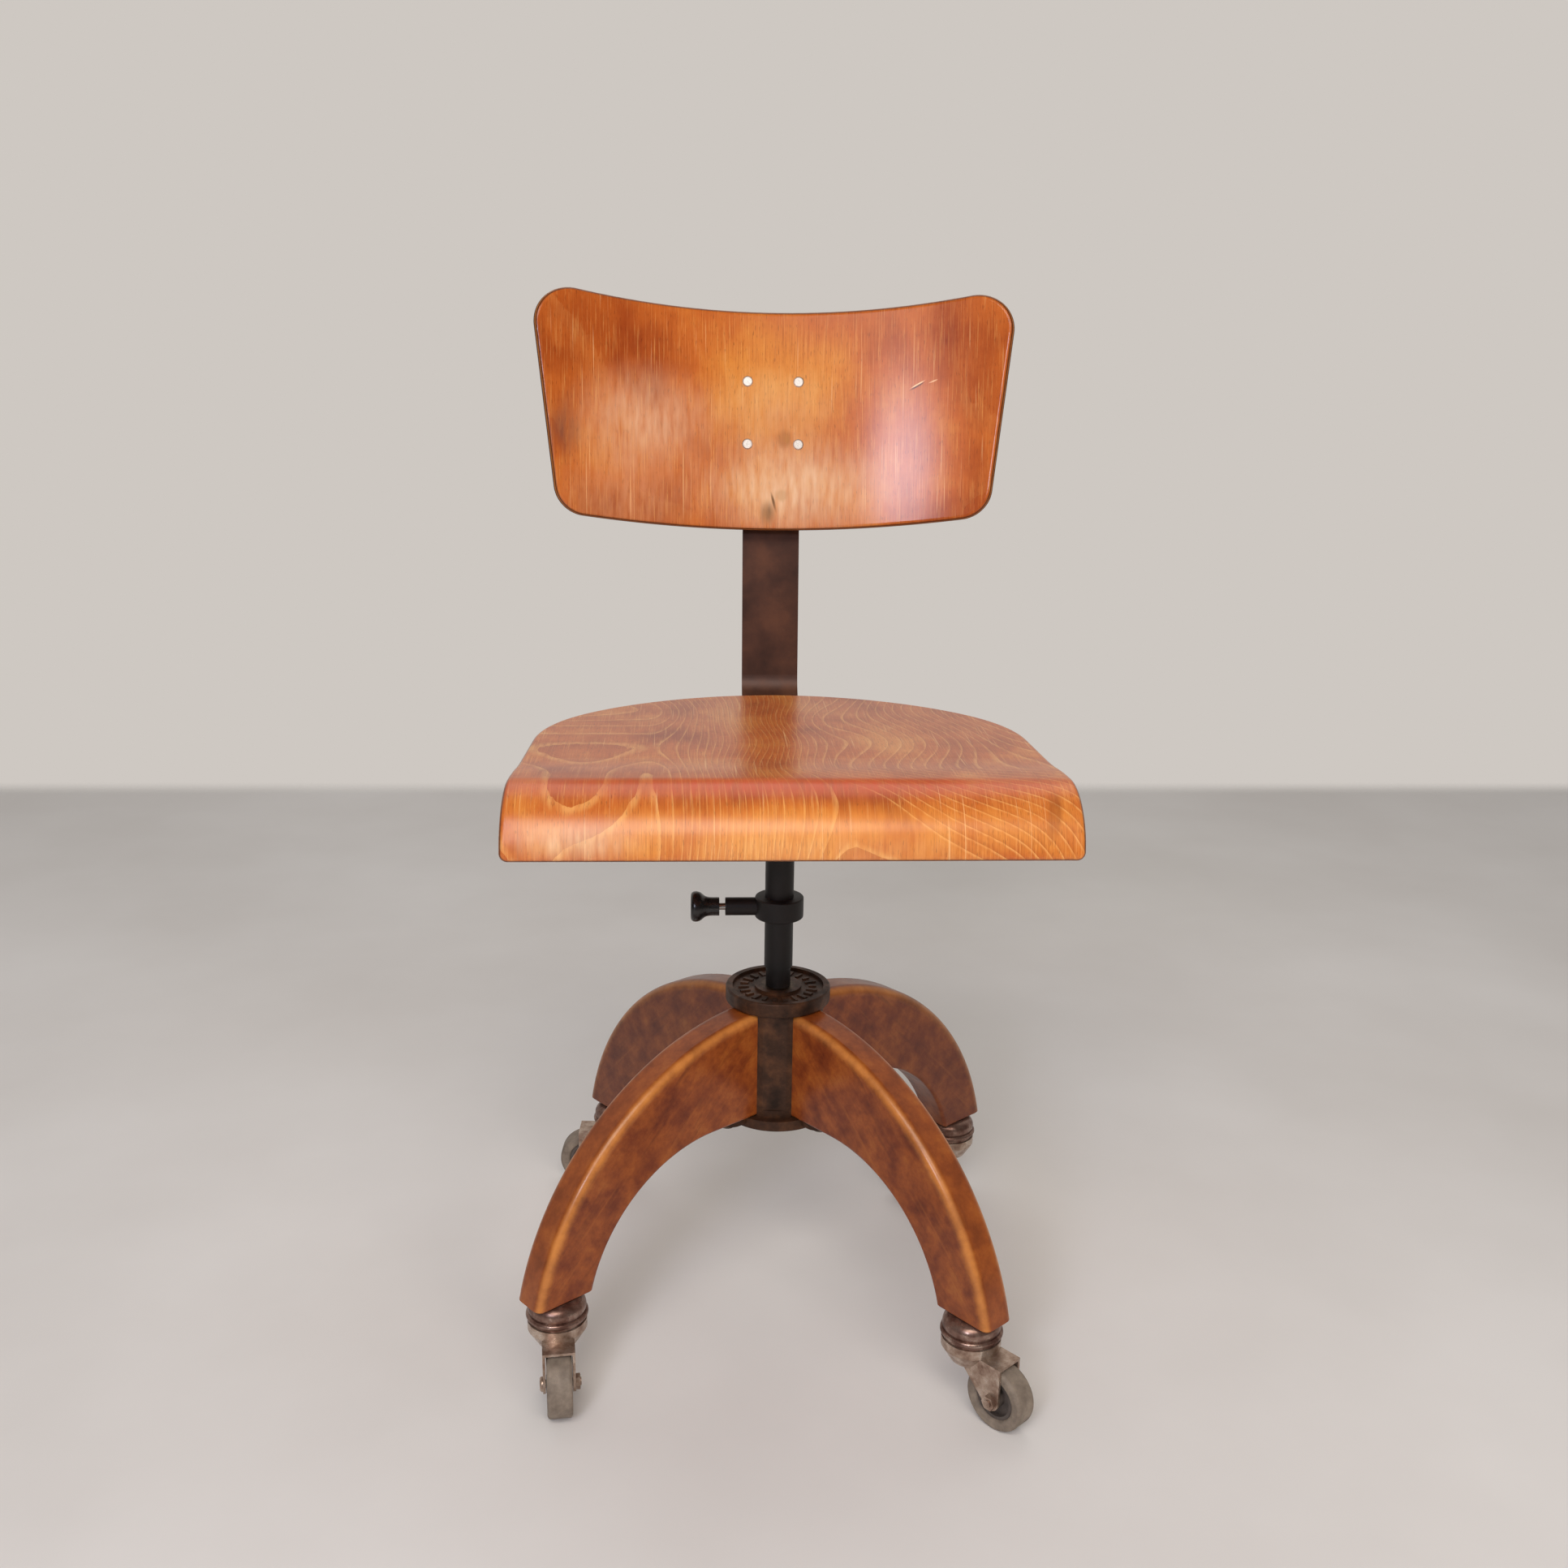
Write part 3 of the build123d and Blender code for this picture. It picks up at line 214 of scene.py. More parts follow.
def seat_veneer_place(tree):
    """Across the grain, along it and below the surface, on the sheet that the seat was pressed from."""
    x, y, z = add(tree, "ShaderNodeSeparateXYZ", {0: place_mm(tree)}).outputs
    behind = add(tree, "ShaderNodeMath", {0: y, 1: RIDGE_Y}, operation="SUBTRACT")
    ahead = add(tree, "ShaderNodeMath", {0: behind, 1: 0.0}, operation="MINIMUM")
    forward = add(tree, "ShaderNodeMath", {0: ahead, 1: -1.0}, operation="MULTIPLY")
    over = add(tree, "ShaderNodeMath", {0: z, 1: ROLL_CENTRE_Z}, operation="SUBTRACT")
    raised = add(tree, "ShaderNodeMath", {0: over, 1: 0.0}, operation="MAXIMUM")
    lowered = add(tree, "ShaderNodeMath", {0: over, 1: 0.0}, operation="MINIMUM")
    turn = add(tree, "ShaderNodeMath", {0: forward, 1: raised}, operation="ARCTAN2")
    flat_run = add(tree, "ShaderNodeMath", {0: behind, 1: 0.0}, operation="MAXIMUM")
    rolled = add(tree, "ShaderNodeMath", {0: turn, 1: -ROLL_R, 2: flat_run}, operation="MULTIPLY_ADD")
    along = add(tree, "ShaderNodeMath", {0: rolled, 1: lowered}, operation="ADD")
    forward_sq = add(tree, "ShaderNodeMath", {0: forward, 1: forward}, operation="MULTIPLY")
    reach_sq = add(tree, "ShaderNodeMath", {0: raised, 1: raised, 2: forward_sq}, operation="MULTIPLY_ADD")
    reach = add(tree, "ShaderNodeMath", {0: reach_sq}, operation="SQRT")
    depth_roll = add(tree, "ShaderNodeMath", {0: ROLL_R, 1: reach}, operation="SUBTRACT")
    top = add(tree, "ShaderNodeMapRange",
              {"Value": behind, "From Min": 0.0, "From Max": DISH_RUN,
               "To Min": seat_high.z, "To Max": seat_high.z - DISH_DEPTH},
              interpolation_type="SMOOTHSTEP")
    depth_flat = add(tree, "ShaderNodeMath", {0: top, 1: z}, operation="SUBTRACT")
    on_roll = add(tree, "ShaderNodeMath", {0: behind, 1: 0.0}, operation="LESS_THAN")
    depth = add(tree, "ShaderNodeMix", {0: on_roll, 2: depth_flat, 3: depth_roll}, data_type="FLOAT")
    return x, along, depth


def back_veneer_place(tree):
    """Across the grain, along it and below the surface, on the sheet that the back was pressed from."""
    from_centre = add(tree, "ShaderNodeVectorMath", {0: place_mm(tree), 1: BACK_CENTRE}, operation="SUBTRACT")
    upright = add(tree, "ShaderNodeVectorRotate", {"Vector": from_centre, "Angle": radians(BACK_TILT)},
                  rotation_type="X_AXIS")
    aside, behind, along = add(tree, "ShaderNodeSeparateXYZ", {0: upright}).outputs
    reach_y = add(tree, "ShaderNodeMath", {0: behind, 1: BACK_R}, operation="ADD")
    turn = add(tree, "ShaderNodeMath", {0: aside, 1: reach_y}, operation="ARCTAN2")
    across = add(tree, "ShaderNodeMath", {0: turn, 1: BACK_R}, operation="MULTIPLY")
    aside_sq = add(tree, "ShaderNodeMath", {0: aside, 1: aside}, operation="MULTIPLY")
    reach_sq = add(tree, "ShaderNodeMath", {0: reach_y, 1: reach_y, 2: aside_sq}, operation="MULTIPLY_ADD")
    reach = add(tree, "ShaderNodeMath", {0: reach_sq}, operation="SQRT")
    depth = add(tree, "ShaderNodeMath", {0: reach, 1: BACK_R}, operation="SUBTRACT")
    return across, along, depth


def spot(tree, across, along, centre, half_sizes, turn=0.0, core=0.0):
    """A soft elliptical patch on a sheet: 1 in its core, a share of its size, and 0 outside it."""
    place = add(tree, "ShaderNodeCombineXYZ", {0: across, 1: along})
    offset = add(tree, "ShaderNodeVectorMath", {0: place, 1: (*centre, 0.0)}, operation="SUBTRACT")
    turned = add(tree, "ShaderNodeVectorRotate", {"Vector": offset, "Angle": radians(turn)},
                 rotation_type="Z_AXIS")
    scaled = add(tree, "ShaderNodeVectorMath", {0: turned, 1: (*half_sizes, 1.0)}, operation="DIVIDE")
    reach = add(tree, "ShaderNodeVectorMath", {0: scaled}, operation="LENGTH")
    return add(tree, "ShaderNodeMapRange",
               {"Value": reach.outputs["Value"], "From Min": 1.0, "From Max": core,
                "To Min": 0.0, "To Max": 1.0},
               interpolation_type="SMOOTHSTEP")


def veneer_grain(tree, sheet):
    """The patterns of the grain by name, each stretched to its own width and length."""
    grain = {}
    for name, (width, length, detail, roughness) in VENEER_GRAIN.items():
        place = add(tree, "ShaderNodeVectorMath", {0: sheet, 1: (1 / width, 1 / length, 1)},
                    operation="MULTIPLY")
        grain[name] = add(tree, "ShaderNodeTexNoise",
                          {"Vector": place, "Scale": 1.0, "Detail": detail, "Roughness": roughness})
    return grain


def veneer_stain(tree, across, along, blotch, blotch_share, patches):
    """The stain: soft blotches a hand wide, and wide patches that shift it darker or paler, some of them as
    painted shade or a painted highlight.
    """
    tone = add(tree, "ShaderNodeMapRange",
               {"Value": blotch, "From Min": 0.0, "From Max": 1.0,
                "To Min": 0.5 - blotch_share / 2, "To Max": 0.5 + blotch_share / 2})
    for centre, half_sizes, shift in patches:
        patch = spot(tree, across, along, centre, half_sizes)
        tone = add(tree, "ShaderNodeMath", {0: patch, 1: shift, 2: tone}, operation="MULTIPLY_ADD")
    return ramp_stops(add(tree, "ShaderNodeValToRGB", {0: tone}), VENEER_STAIN)


def veneer_rings(tree, across, along, grain, rings):
    """The rings of the peeled sheet: even lines where it was cut straight, lines that lean beside them, and
    arches where it waved. Gives the masks of the pale lines and of the dark edges behind them."""
    share = rings["share"]
    start, end = rings["straight_span"]
    phase = add(tree, "ShaderNodeMapRange",
                {"Value": across, "From Min": start, "From Max": end,
                 "To Min": 0.0, "To Max": rings["straight"]},
                interpolation_type="SMOOTHSTEP")
    if "leaning" in rings:
        start, end = rings["lean_span"]
        up_to_top = add(tree, "ShaderNodeMath", {0: along, 1: rings["lean_top"]}, operation="MINIMUM")
        leant = add(tree, "ShaderNodeMath", {0: up_to_top, 1: rings["lean"], 2: across},
                    operation="MULTIPLY_ADD")
        leaning = add(tree, "ShaderNodeMapRange",
                      {"Value": leant, "From Min": start, "From Max": end,
                       "To Min": 0.0, "To Max": rings["leaning"]})
        phase = add(tree, "ShaderNodeMath", {0: phase, 1: leaning}, operation="ADD")
    arched = add(tree, "ShaderNodeMath", {0: grain["bend"], 1: rings["arched"], 2: phase},
                 operation="MULTIPLY_ADD")
    ragged = add(tree, "ShaderNodeMath", {0: grain["jitter"], 1: RING_RAGGED, 2: arched},
                 operation="MULTIPLY_ADD")
    ring = add(tree, "ShaderNodeMath", {0: ragged}, operation="FRACT")
    fade = add(tree, "ShaderNodeMapRange",
               {"Value": grain["jitter"], "From Min": RING_FADE[0], "From Max": RING_FADE[1],
                "To Min": RING_FAINT * share, "To Max": share})
    rise = add(tree, "ShaderNodeMapRange",
               {"Value": ring, "From Min": RING_LINE[0], "From Max": RING_LINE[1],
                "To Min": 0.0, "To Max": 1.0},
               interpolation_type="SMOOTHSTEP")
    pale_line = add(tree, "ShaderNodeMath", {0: rise, 1: fade}, operation="MULTIPLY")
    dark_edge = add(tree, "ShaderNodeMapRange",
                    {"Value": ring, "From Min": 0.0, "From Max": RING_EDGE_END,
                     "To Min": RING_EDGE * share, "To Max": 0.0})
    return pale_line, dark_edge


def veneer_rim(tree, depth):
    """The crossed plies of the rim, alternately dark end grain and pale long grain, and the rim's mask."""
    phase = add(tree, "ShaderNodeMath", {0: depth, 1: -2 * pi / PLY_PAIR}, operation="MULTIPLY")
    wave = add(tree, "ShaderNodeMath", {0: phase}, operation="SINE")
    plies = ramp_stops(add(tree, "ShaderNodeValToRGB", {0: wave}), PLY_TONES)
    below_face = add(tree, "ShaderNodeMapRange",
                     {"Value": depth, "From Min": RIM_START, "From Max": RIM_FULL,
                      "To Min": 0.0, "To Max": 1.0})
    above_back = add(tree, "ShaderNodeMapRange",
                     {"Value": depth, "From Min": PLY - RIM_START, "From Max": PLY - RIM_FULL,
                      "To Min": 0.0, "To Max": 1.0})
    rim = add(tree, "ShaderNodeMath", {0: below_face, 1: above_back}, operation="MULTIPLY")
    return plies, rim


def beech_veneer(name, find_place, seed, blotch_share, rings, gloss, patches, marks):
    """Moulded beech plywood, stained orange brown and varnished: a blotchy stain, pale wavy rings, fine
    threads and hairs along the grain, short dark flecks, and plies at the rim. A patch shifts the stain over
    a wide spot, or stands there as painted shade or a painted highlight, and a mark is a knot, a stain, a
    scratch, a painted shade or a painted highlight, of its own colour. The gloss is the varnish's
    weight and roughness."""
    material, tree = new_material(name)
    across, along, depth = find_place(tree)
    sheet = add(tree, "ShaderNodeCombineXYZ", {0: across, 1: along, 2: seed})
    grain = veneer_grain(tree, sheet)
    stain = veneer_stain(tree, across, along, grain["blotch"], blotch_share, patches)
    pale_line, dark_edge = veneer_rings(tree, across, along, grain, rings)
    streaks = {}
    for streak, (source, start, full, share) in VENEER_STREAKS.items():
        streaks[streak] = add(tree, "ShaderNodeMapRange",
                              {"Value": grain[source], "From Min": start, "From Max": full,
                               "To Min": 0.0, "To Max": share})

    layers = [(dark_edge, "9C4216"), (streaks["dark thread"], "84350F"), (streaks["pale thread"], "F0B768"),
              (pale_line, "F4BC70"), (streaks["pale hair"], "F3C489"), (streaks["fleck"], "66290C")]
    for centre, half_sizes, turn, core, share, hex_code in marks:
        mark = spot(tree, across, along, centre, half_sizes, turn, core)
        uneven = add(tree, "ShaderNodeMath", {0: mark, 1: grain["jitter"]}, operation="MULTIPLY")
        strong = add(tree, "ShaderNodeMath", {0: uneven, 1: 2 * share}, operation="MULTIPLY", use_clamp=True)
        layers.append((strong, hex_code))
    face = overlaid(tree, stain, layers)
    plies, rim = veneer_rim(tree, depth)
    coloured = add(tree, "ShaderNodeMix", {0: rim, 6: face, 7: plies}, data_type="RGBA")

    bump = add(tree, "ShaderNodeBump", {"Strength": 0.15, "Distance": 0.15 * MM, "Height": grain["thread"]})
    rough = add(tree, "ShaderNodeMapRange",
                {"Value": grain["blotch"], "From Min": 0.3, "From Max": 0.7, "To Min": 0.46, "To Max": 0.34})
    shader = add(tree, "ShaderNodeBsdfPrincipled",
                 {"Base Color": coloured.outputs[2], "Roughness": rough, "Normal": bump, "IOR": 1.5,
                  "Specular IOR Level": 0.05, "Coat Weight": gloss[0], "Coat Roughness": gloss[1]})
    add(tree, "ShaderNodeOutputMaterial", {"Surface": shader})
    return material


def solid_beech_legs():
    """Solid beech, stained dark red brown. The stain is mottled, faint streaks follow the plank, the outer
    side is worn paler, its rounded corners are worn to orange and carry a painted highlight, and the back
    legs are painted darker as shade."""
    material, tree = new_material("solid_beech_red_brown_stain")
    place = place_mm(tree)
    coordinates = add(tree, "ShaderNodeSeparateXYZ", {0: place})
    y = coordinates.outputs["Y"]
    z = coordinates.outputs["Z"]

    # Plank: how far a point is from the post, how far to the side of its leg, and its place on the plank
    turned = add(tree, "ShaderNodeVectorRotate", {"Vector": place, "Angle": radians(-LEG_TURN)},
                 rotation_type="Z_AXIS")
    split = add(tree, "ShaderNodeSeparateXYZ", {0: turned})
    size_x = add(tree, "ShaderNodeMath", {0: split.outputs["X"]}, operation="ABSOLUTE")
    size_y = add(tree, "ShaderNodeMath", {0: split.outputs["Y"]}, operation="ABSOLUTE")
    reach = add(tree, "ShaderNodeMath", {0: size_x, 1: size_y}, operation="MAXIMUM")
    aside = add(tree, "ShaderNodeMath", {0: size_x, 1: size_y}, operation="MINIMUM")
    along = add(tree, "ShaderNodeMath", {0: reach, 1: z}, operation="SUBTRACT")
    across = add(tree, "ShaderNodeMath", {0: reach, 1: z}, operation="ADD")
    plank = add(tree, "ShaderNodeCombineXYZ", {0: across, 1: along, 2: aside})

    # Stain and streaks
    mottle = add(tree, "ShaderNodeTexNoise",
                 {"Vector": place, "Scale": 1 / LEG_MOTTLE, "Detail": 6.0, "Roughness": 0.68})
    stain = ramp_stops(add(tree, "ShaderNodeValToRGB", {0: mottle}), LEG_STAIN)
    streak_place = add(tree, "ShaderNodeVectorMath", {0: plank, 1: tuple(1 / size for size in LEG_STREAK)},
                       operation="MULTIPLY")
    streak = add(tree, "ShaderNodeTexNoise",
                 {"Vector": streak_place, "Scale": 1.0, "Detail": 4.0, "Roughness": 0.6})
    dark_streak = add(tree, "ShaderNodeMapRange",
                      {"Value": streak, "From Min": 0.46, "From Max": 0.28, "To Min": 0.0, "To Max": 0.4})
    pale_streak = add(tree, "ShaderNodeMapRange",
                      {"Value": streak, "From Min": 0.56, "From Max": 0.76, "To Min": 0.0, "To Max": 0.35})

    # Wear and painted light: the outer side by its distance from the curve's centre, the corners beside it,
    # worn and with a painted highlight, and painted shade towards the back
    off_r = add(tree, "ShaderNodeMath", {0: reach, 1: LEG_BACK_CENTRE[0]}, operation="SUBTRACT")
    off_z = add(tree, "ShaderNodeMath", {0: z, 1: LEG_BACK_CENTRE[1]}, operation="SUBTRACT")
    off_r_sq = add(tree, "ShaderNodeMath", {0: off_r, 1: off_r}, operation="MULTIPLY")
    off_sq = add(tree, "ShaderNodeMath", {0: off_z, 1: off_z, 2: off_r_sq}, operation="MULTIPLY_ADD")
    off = add(tree, "ShaderNodeMath", {0: off_sq}, operation="SQRT")
    outer = add(tree, "ShaderNodeMapRange",
                {"Value": off, "From Min": LEG_BACK_R - LEG_OUTER_RUB[0],
                 "From Max": LEG_BACK_R - LEG_OUTER_RUB[1], "To Min": 0.0, "To Max": 0.22},
                interpolation_type="SMOOTHSTEP")
    to_corner = add(tree, "ShaderNodeMath", {0: aside, 1: LEG_HALF_T - LEG_CORNER_INSET},
                    operation="SUBTRACT")
    from_corner = add(tree, "ShaderNodeMath", {0: to_corner}, operation="ABSOLUTE")
    corner = add(tree, "ShaderNodeMapRange",
                 {"Value": from_corner, "From Min": LEG_CORNER_RUB_AND_HIGHLIGHT[0], "From Max": LEG_CORNER_RUB_AND_HIGHLIGHT[1],
                  "To Min": 0.0, "To Max": 1.0},
                 interpolation_type="SMOOTHSTEP")
    near_outer = add(tree, "ShaderNodeMapRange",
                     {"Value": off, "From Min": LEG_BACK_R - LEG_CORNER_DEPTH[0],
                      "From Max": LEG_BACK_R - LEG_CORNER_DEPTH[1]})
    edge = add(tree, "ShaderNodeMath", {0: corner, 1: near_outer}, operation="MULTIPLY")
    # Corners: worn to orange, and brightened as a painted highlight along the rounded edge
    rubbed_and_highlit = add(tree, "ShaderNodeMath", {0: edge, 1: mottle}, operation="MULTIPLY", use_clamp=True)
    # Painted shade: the back legs are darker, as under the seat's shade
    rear_painted_shade = add(tree, "ShaderNodeMapRange",
               {"Value": y, "From Min": LEG_REAR_SHADE[0], "From Max": LEG_REAR_SHADE[1], "To Min": 0.0, "To Max": 0.26})

    # D68E46 on the corners is wear and painted highlight; 30120A on the back legs is painted shade
    colour = overlaid(tree, stain, [(dark_streak, "451B0C"), (pale_streak, "A9622A"), (outer, "A2581E"),
                                    (rubbed_and_highlit, "D68E46"), (rear_painted_shade, "30120A")])
    bump = add(tree, "ShaderNodeBump", {"Strength": 0.12, "Distance": 0.25 * MM, "Height": streak})
    rough = add(tree, "ShaderNodeMapRange",
                {"Value": mottle, "From Min": 0.3, "From Max": 0.7, "To Min": 0.48, "To Max": 0.36})
    shader = add(tree, "ShaderNodeBsdfPrincipled",
                 {"Base Color": colour, "Roughness": rough, "Normal": bump, "IOR": 1.5,
                  "Specular IOR Level": 0.2, "Coat Weight": 0.4, "Coat Roughness": 0.2})
    add(tree, "ShaderNodeOutputMaterial", {"Surface": shader})
    return material


def weathered(name, stops, patch_mm, grit_mm, grit_depth_mm, rough, metallic, shine=0.5):
    """A hard surface with stained patches, a fine grit in its skin and uneven gloss. The real grit is finer,
    and is drawn as coarse as it needs to show."""
    material, tree = new_material(name)
    place = place_mm(tree)
    patch = add(tree, "ShaderNodeTexNoise",
                {"Vector": place, "Scale": 1 / patch_mm, "Detail": 5.0, "Roughness": 0.62})
    colour = ramp_stops(add(tree, "ShaderNodeValToRGB", {0: patch}), stops)
    grit = add(tree, "ShaderNodeTexNoise", {"Vector": place, "Scale": 1 / grit_mm, "Detail": 2.0})
    bump = add(tree, "ShaderNodeBump", {"Strength": 0.5, "Distance": grit_depth_mm * MM, "Height": grit})
    gloss = add(tree, "ShaderNodeMapRange",
                {"Value": patch, "From Min": 0.3, "From Max": 0.7, "To Min": rough[0], "To Max": rough[1]})
    shader = add(tree, "ShaderNodeBsdfPrincipled",
                 {"Base Color": colour, "Roughness": gloss, "Normal": bump, "Metallic": metallic,
                  "Specular IOR Level": shine})
    add(tree, "ShaderNodeOutputMaterial", {"Surface": shader})
    return material


# The finish of each material slot
finishes = {
    "leg_beech": solid_beech_legs(),
    # Cast iron with a brown patina: dull, dark and coarse
    "cast_hub": weathered(
        "cast_iron_brown_patina", [(0.3, "261810"), (0.5, "3D271A"), (0.7, "583823")],
        patch_mm=14, grit_mm=1.4, grit_depth_mm=0.12, rough=(0.58, 0.40), metallic=0.3, shine=0.3),
    # Stoved enamel: near black and half dull
    "black_steel": weathered(
        "black_stoved_enamel", [(0.35, "100D0C"), (0.6, "191412"), (0.8, "2A201C")],
        patch_mm=22, grit_mm=0.9, grit_depth_mm=0.02, rough=(0.42, 0.55), metallic=0.0, shine=0.3),
    # Rolled flat steel with a brown patina: wide soft patches and a low sheen
    "brown_steel": weathered(
        "flat_steel_brown_patina", [(0.3, "351D13"), (0.5, "4A2919"), (0.7, "5E3620")],
        patch_mm=40, grit_mm=1.1, grit_depth_mm=0.03, rough=(0.36, 0.5), metallic=0.3),
    # Moulded phenolic: black and glossy
    "black_plastic": weathered(
        "black_moulded_phenolic", [(0.3, "0F0E0E"), (0.7, "1B1817")],
        patch_mm=9, grit_mm=0.8, grit_depth_mm=0.01, rough=(0.22, 0.34), metallic=0.0),
    # Turned steel that has dulled: grey brown with some glints
    "dark_screws": weathered(
        "dull_turned_steel", [(0.3, "4A433D"), (0.5, "6A625A"), (0.7, "857C72")],
        patch_mm=5, grit_mm=0.6, grit_depth_mm=0.02, rough=(0.5, 0.32), metallic=0.9),
    # Ground steel: pale grey and bright
    "bearing_steel": weathered(
        "ground_steel", [(0.3, "8C8A86"), (0.7, "B6B4B0")],
        patch_mm=6, grit_mm=0.5, grit_depth_mm=0.005, rough=(0.3, 0.2), metallic=1.0),
    # Bronze under oil: dark, with a warm glint
    "bronze_bush": weathered(
        "oil_dark_bronze", [(0.3, "2E2118"), (0.7, "54402C")],
        patch_mm=4, grit_mm=0.5, grit_depth_mm=0.02, rough=(0.5, 0.38), metallic=0.9),
    # Aluminium rivet heads, rubbed bright: nearly white
    "rivet_aluminium": weathered(
        "bright_aluminium", [(0.3, "E2DCD3"), (0.7, "F4EFE8")],
        patch_mm=3, grit_mm=0.4, grit_depth_mm=0.01, rough=(0.34, 0.22), metallic=0.3),
    # Nickel plate, worn and stained: bright grey between brown patches
    "worn_nickel": weathered(
        "worn_nickel_plate", [(0.26, "6A4D40"), (0.42, "957C6C"), (0.58, "B6A292"), (0.8, "D2C6BA")],
        patch_mm=10, grit_mm=0.7, grit_depth_mm=0.02, rough=(0.44, 0.22), metallic=0.75),
    # Moulded wheel disc: dark and dull
    "wheel_core_plastic": weathered(
        "dark_moulded_disc", [(0.3, "3E3632"), (0.7, "5A504A")],
        patch_mm=8, grit_mm=0.8, grit_depth_mm=0.03, rough=(0.6, 0.48), metallic=0.0),
    # Old rubber: warm grey, chalky and matt
    "grey_rubber": weathered(
        "warm_grey_rubber", [(0.3, "6A5E53"), (0.5, "7C6F62"), (0.72, "8F8172")],
        patch_mm=9, grit_mm=0.9, grit_depth_mm=0.04, rough=(0.72, 0.6), metallic=0.0),
}

# Seat: painted shade darkens it under the ridge, it is darker at its ends, and a painted highlight makes it
# paler down the middle and low on the lip. A patch is its centre and half sizes in millimetres and its shift.
# A mark is its centre and half sizes, its turn in degrees, its core, its share and its colour.
seat_patches_and_painted_light = [
    # painted shade under the ridge
    ((0.0, -14.0), (260.0, 26.0), -0.06),
    # painted highlight low on the lip
    ((20.0, -58.0), (230.0, 34.0), 0.10),
    ((-150.0, 10.0), (90.0, 60.0), -0.08),
]
seat_marks_and_painted_light = [
    ((-178.0, -78.0), (22.0, 5.0), 4.0, 0.35, 0.6, "6B3A1C"),
    ((178.0, -40.0), (7.0, 26.0), 8.0, 0.35, 0.5, "8A3E16"),
    # painted shade under the ridge
    ((0.0, -12.0), (330.0, 20.0), 0.0, 0.0, 0.75, "C2460F"),
    # painted highlight: a golden band down the middle of the lip
    ((30.0, -46.0), (230.0, 22.0), 0.0, 0.0, 0.4, "EE9C40"),
    # painted highlights low on the lip, brightest at its left
    ((-150.0, -60.0), (60.0, 18.0), 0.0, 0.0, 0.5, "F4CDA2"),
    ((10.0, -64.0), (170.0, 16.0), 0.0, 0.0, 0.2, "F4C490"),
]
# Its rings: how many there are, the spans in millimetres that they fill, and how much and up to where some
# of them lean
seat_rings = {
    "straight": 22.0, "straight_span": (-105.0, 45.0),
    "leaning": 15.0, "lean_span": (25.0, 235.0), "lean": 1.2, "lean_top": 30.0,
    "arched": 11.0, "share": 0.44,
}
seat_finish = beech_veneer("beech_ply_varnished_seat", seat_veneer_place, seed=7.0, blotch_share=0.65,
                           rings=seat_rings, gloss=(0.85, 0.28), patches=seat_patches_and_painted_light, marks=seat_marks_and_painted_light)

# Back: gold in the middle, red brown in its upper corners, with a knot between its rivets, a stain under them
# and scratches at its right, and a painted sheen: pale glows low in the middle and at its left
back_patches = [
    ((-150.0, 62.0), (110.0, 70.0), -0.11),
    ((160.0, 60.0), (90.0, 75.0), -0.10),
    ((0.0, 35.0), (100.0, 80.0), 0.13),
    ((10.0, -50.0), (110.0, 55.0), 0.10),
    ((-130.0, -78.0), (110.0, 45.0), -0.10),
    ((150.0, -80.0), (70.0, 34.0), -0.10),
]
back_marks_and_painted_sheen = [
    # painted sheen, pale, low in the middle
    ((16.0, -56.0), (110.0, 60.0), 0.0, 0.0, 0.65, "EAC4A0"),
    # painted highlight: a pale glow at its left
    ((-112.0, -2.0), (85.0, 60.0), 0.0, 0.0, 0.52, "E6B892"),
    # painted sheen, low at its left
    ((-125.0, -62.0), (90.0, 55.0), 0.0, 0.0, 0.34, "DE9E74"),
    ((0.0, 6.0), (90.0, 50.0), 0.0, 0.0, 0.28, "EABE8C"),
    ((10.0, -14.0), (9.0, 11.0), 0.0, 0.35, 0.4, "8E5424"),
    ((12.0, -14.0), (4.0, 5.0), 0.0, 0.35, 0.4, "B27A44"),
    ((8.0, -62.0), (9.0, 7.0), 0.0, 0.35, 0.35, "B98A5A"),
    ((-4.0, -78.0), (10.0, 15.0), 0.0, 0.1, 0.6, "6A4A2C"),
    ((1.0, -68.0), (1.6, 11.0), -15.0, 0.35, 0.7, "5A3A1C"),
    ((-182.0, -12.0), (22.0, 34.0), 0.0, 0.0, 0.5, "74483A"),
    ((124.0, 30.0), (9.0, 0.9), -28.0, 0.35, 1.0, "5A2A12"),
    ((124.5, 31.6), (9.0, 0.8), -28.0, 0.35, 1.0, "F2C796"),
    ((138.0, 34.0), (5.0, 0.8), -20.0, 0.35, 1.0, "F2C796"),
]
back_rings = {"straight": 10.0, "straight_span": (25.0, 175.0), "arched": 2.2, "share": 0.07}
back_finish = beech_veneer("beech_ply_varnished_back", back_veneer_place, seed=11.0, blotch_share=0.45,
                           rings=back_rings, gloss=(0.5, 0.18), patches=back_patches, marks=back_marks_and_painted_sheen)

# Caster cups: their plating has worn to a redder, darker stain than the forks'
cup_finish = weathered(
    "rust_stained_nickel_plate", [(0.26, "4A2E26"), (0.42, "6C4E43"), (0.58, "8C7165"), (0.8, "B8A698")],
    patch_mm=10, grit_mm=0.7, grit_depth_mm=0.02, rough=(0.44, 0.22), metallic=0.75)

# Each node gets its own finish, or else its slot's
own_finish = {"seat_shell": seat_finish, "backrest_shell": back_finish}
own_finish.update({node: cup_finish for node in frame["nodes"] if node.startswith("caster_top")})
slot_of = {entry["node"]: entry["material_slot"] for entry in frame["record"]["subparts"]}
for node, shape in frame["nodes"].items():
    shape.data.materials.clear()
    shape.data.materials.append(own_finish.get(node) or finishes[slot_of[node]])

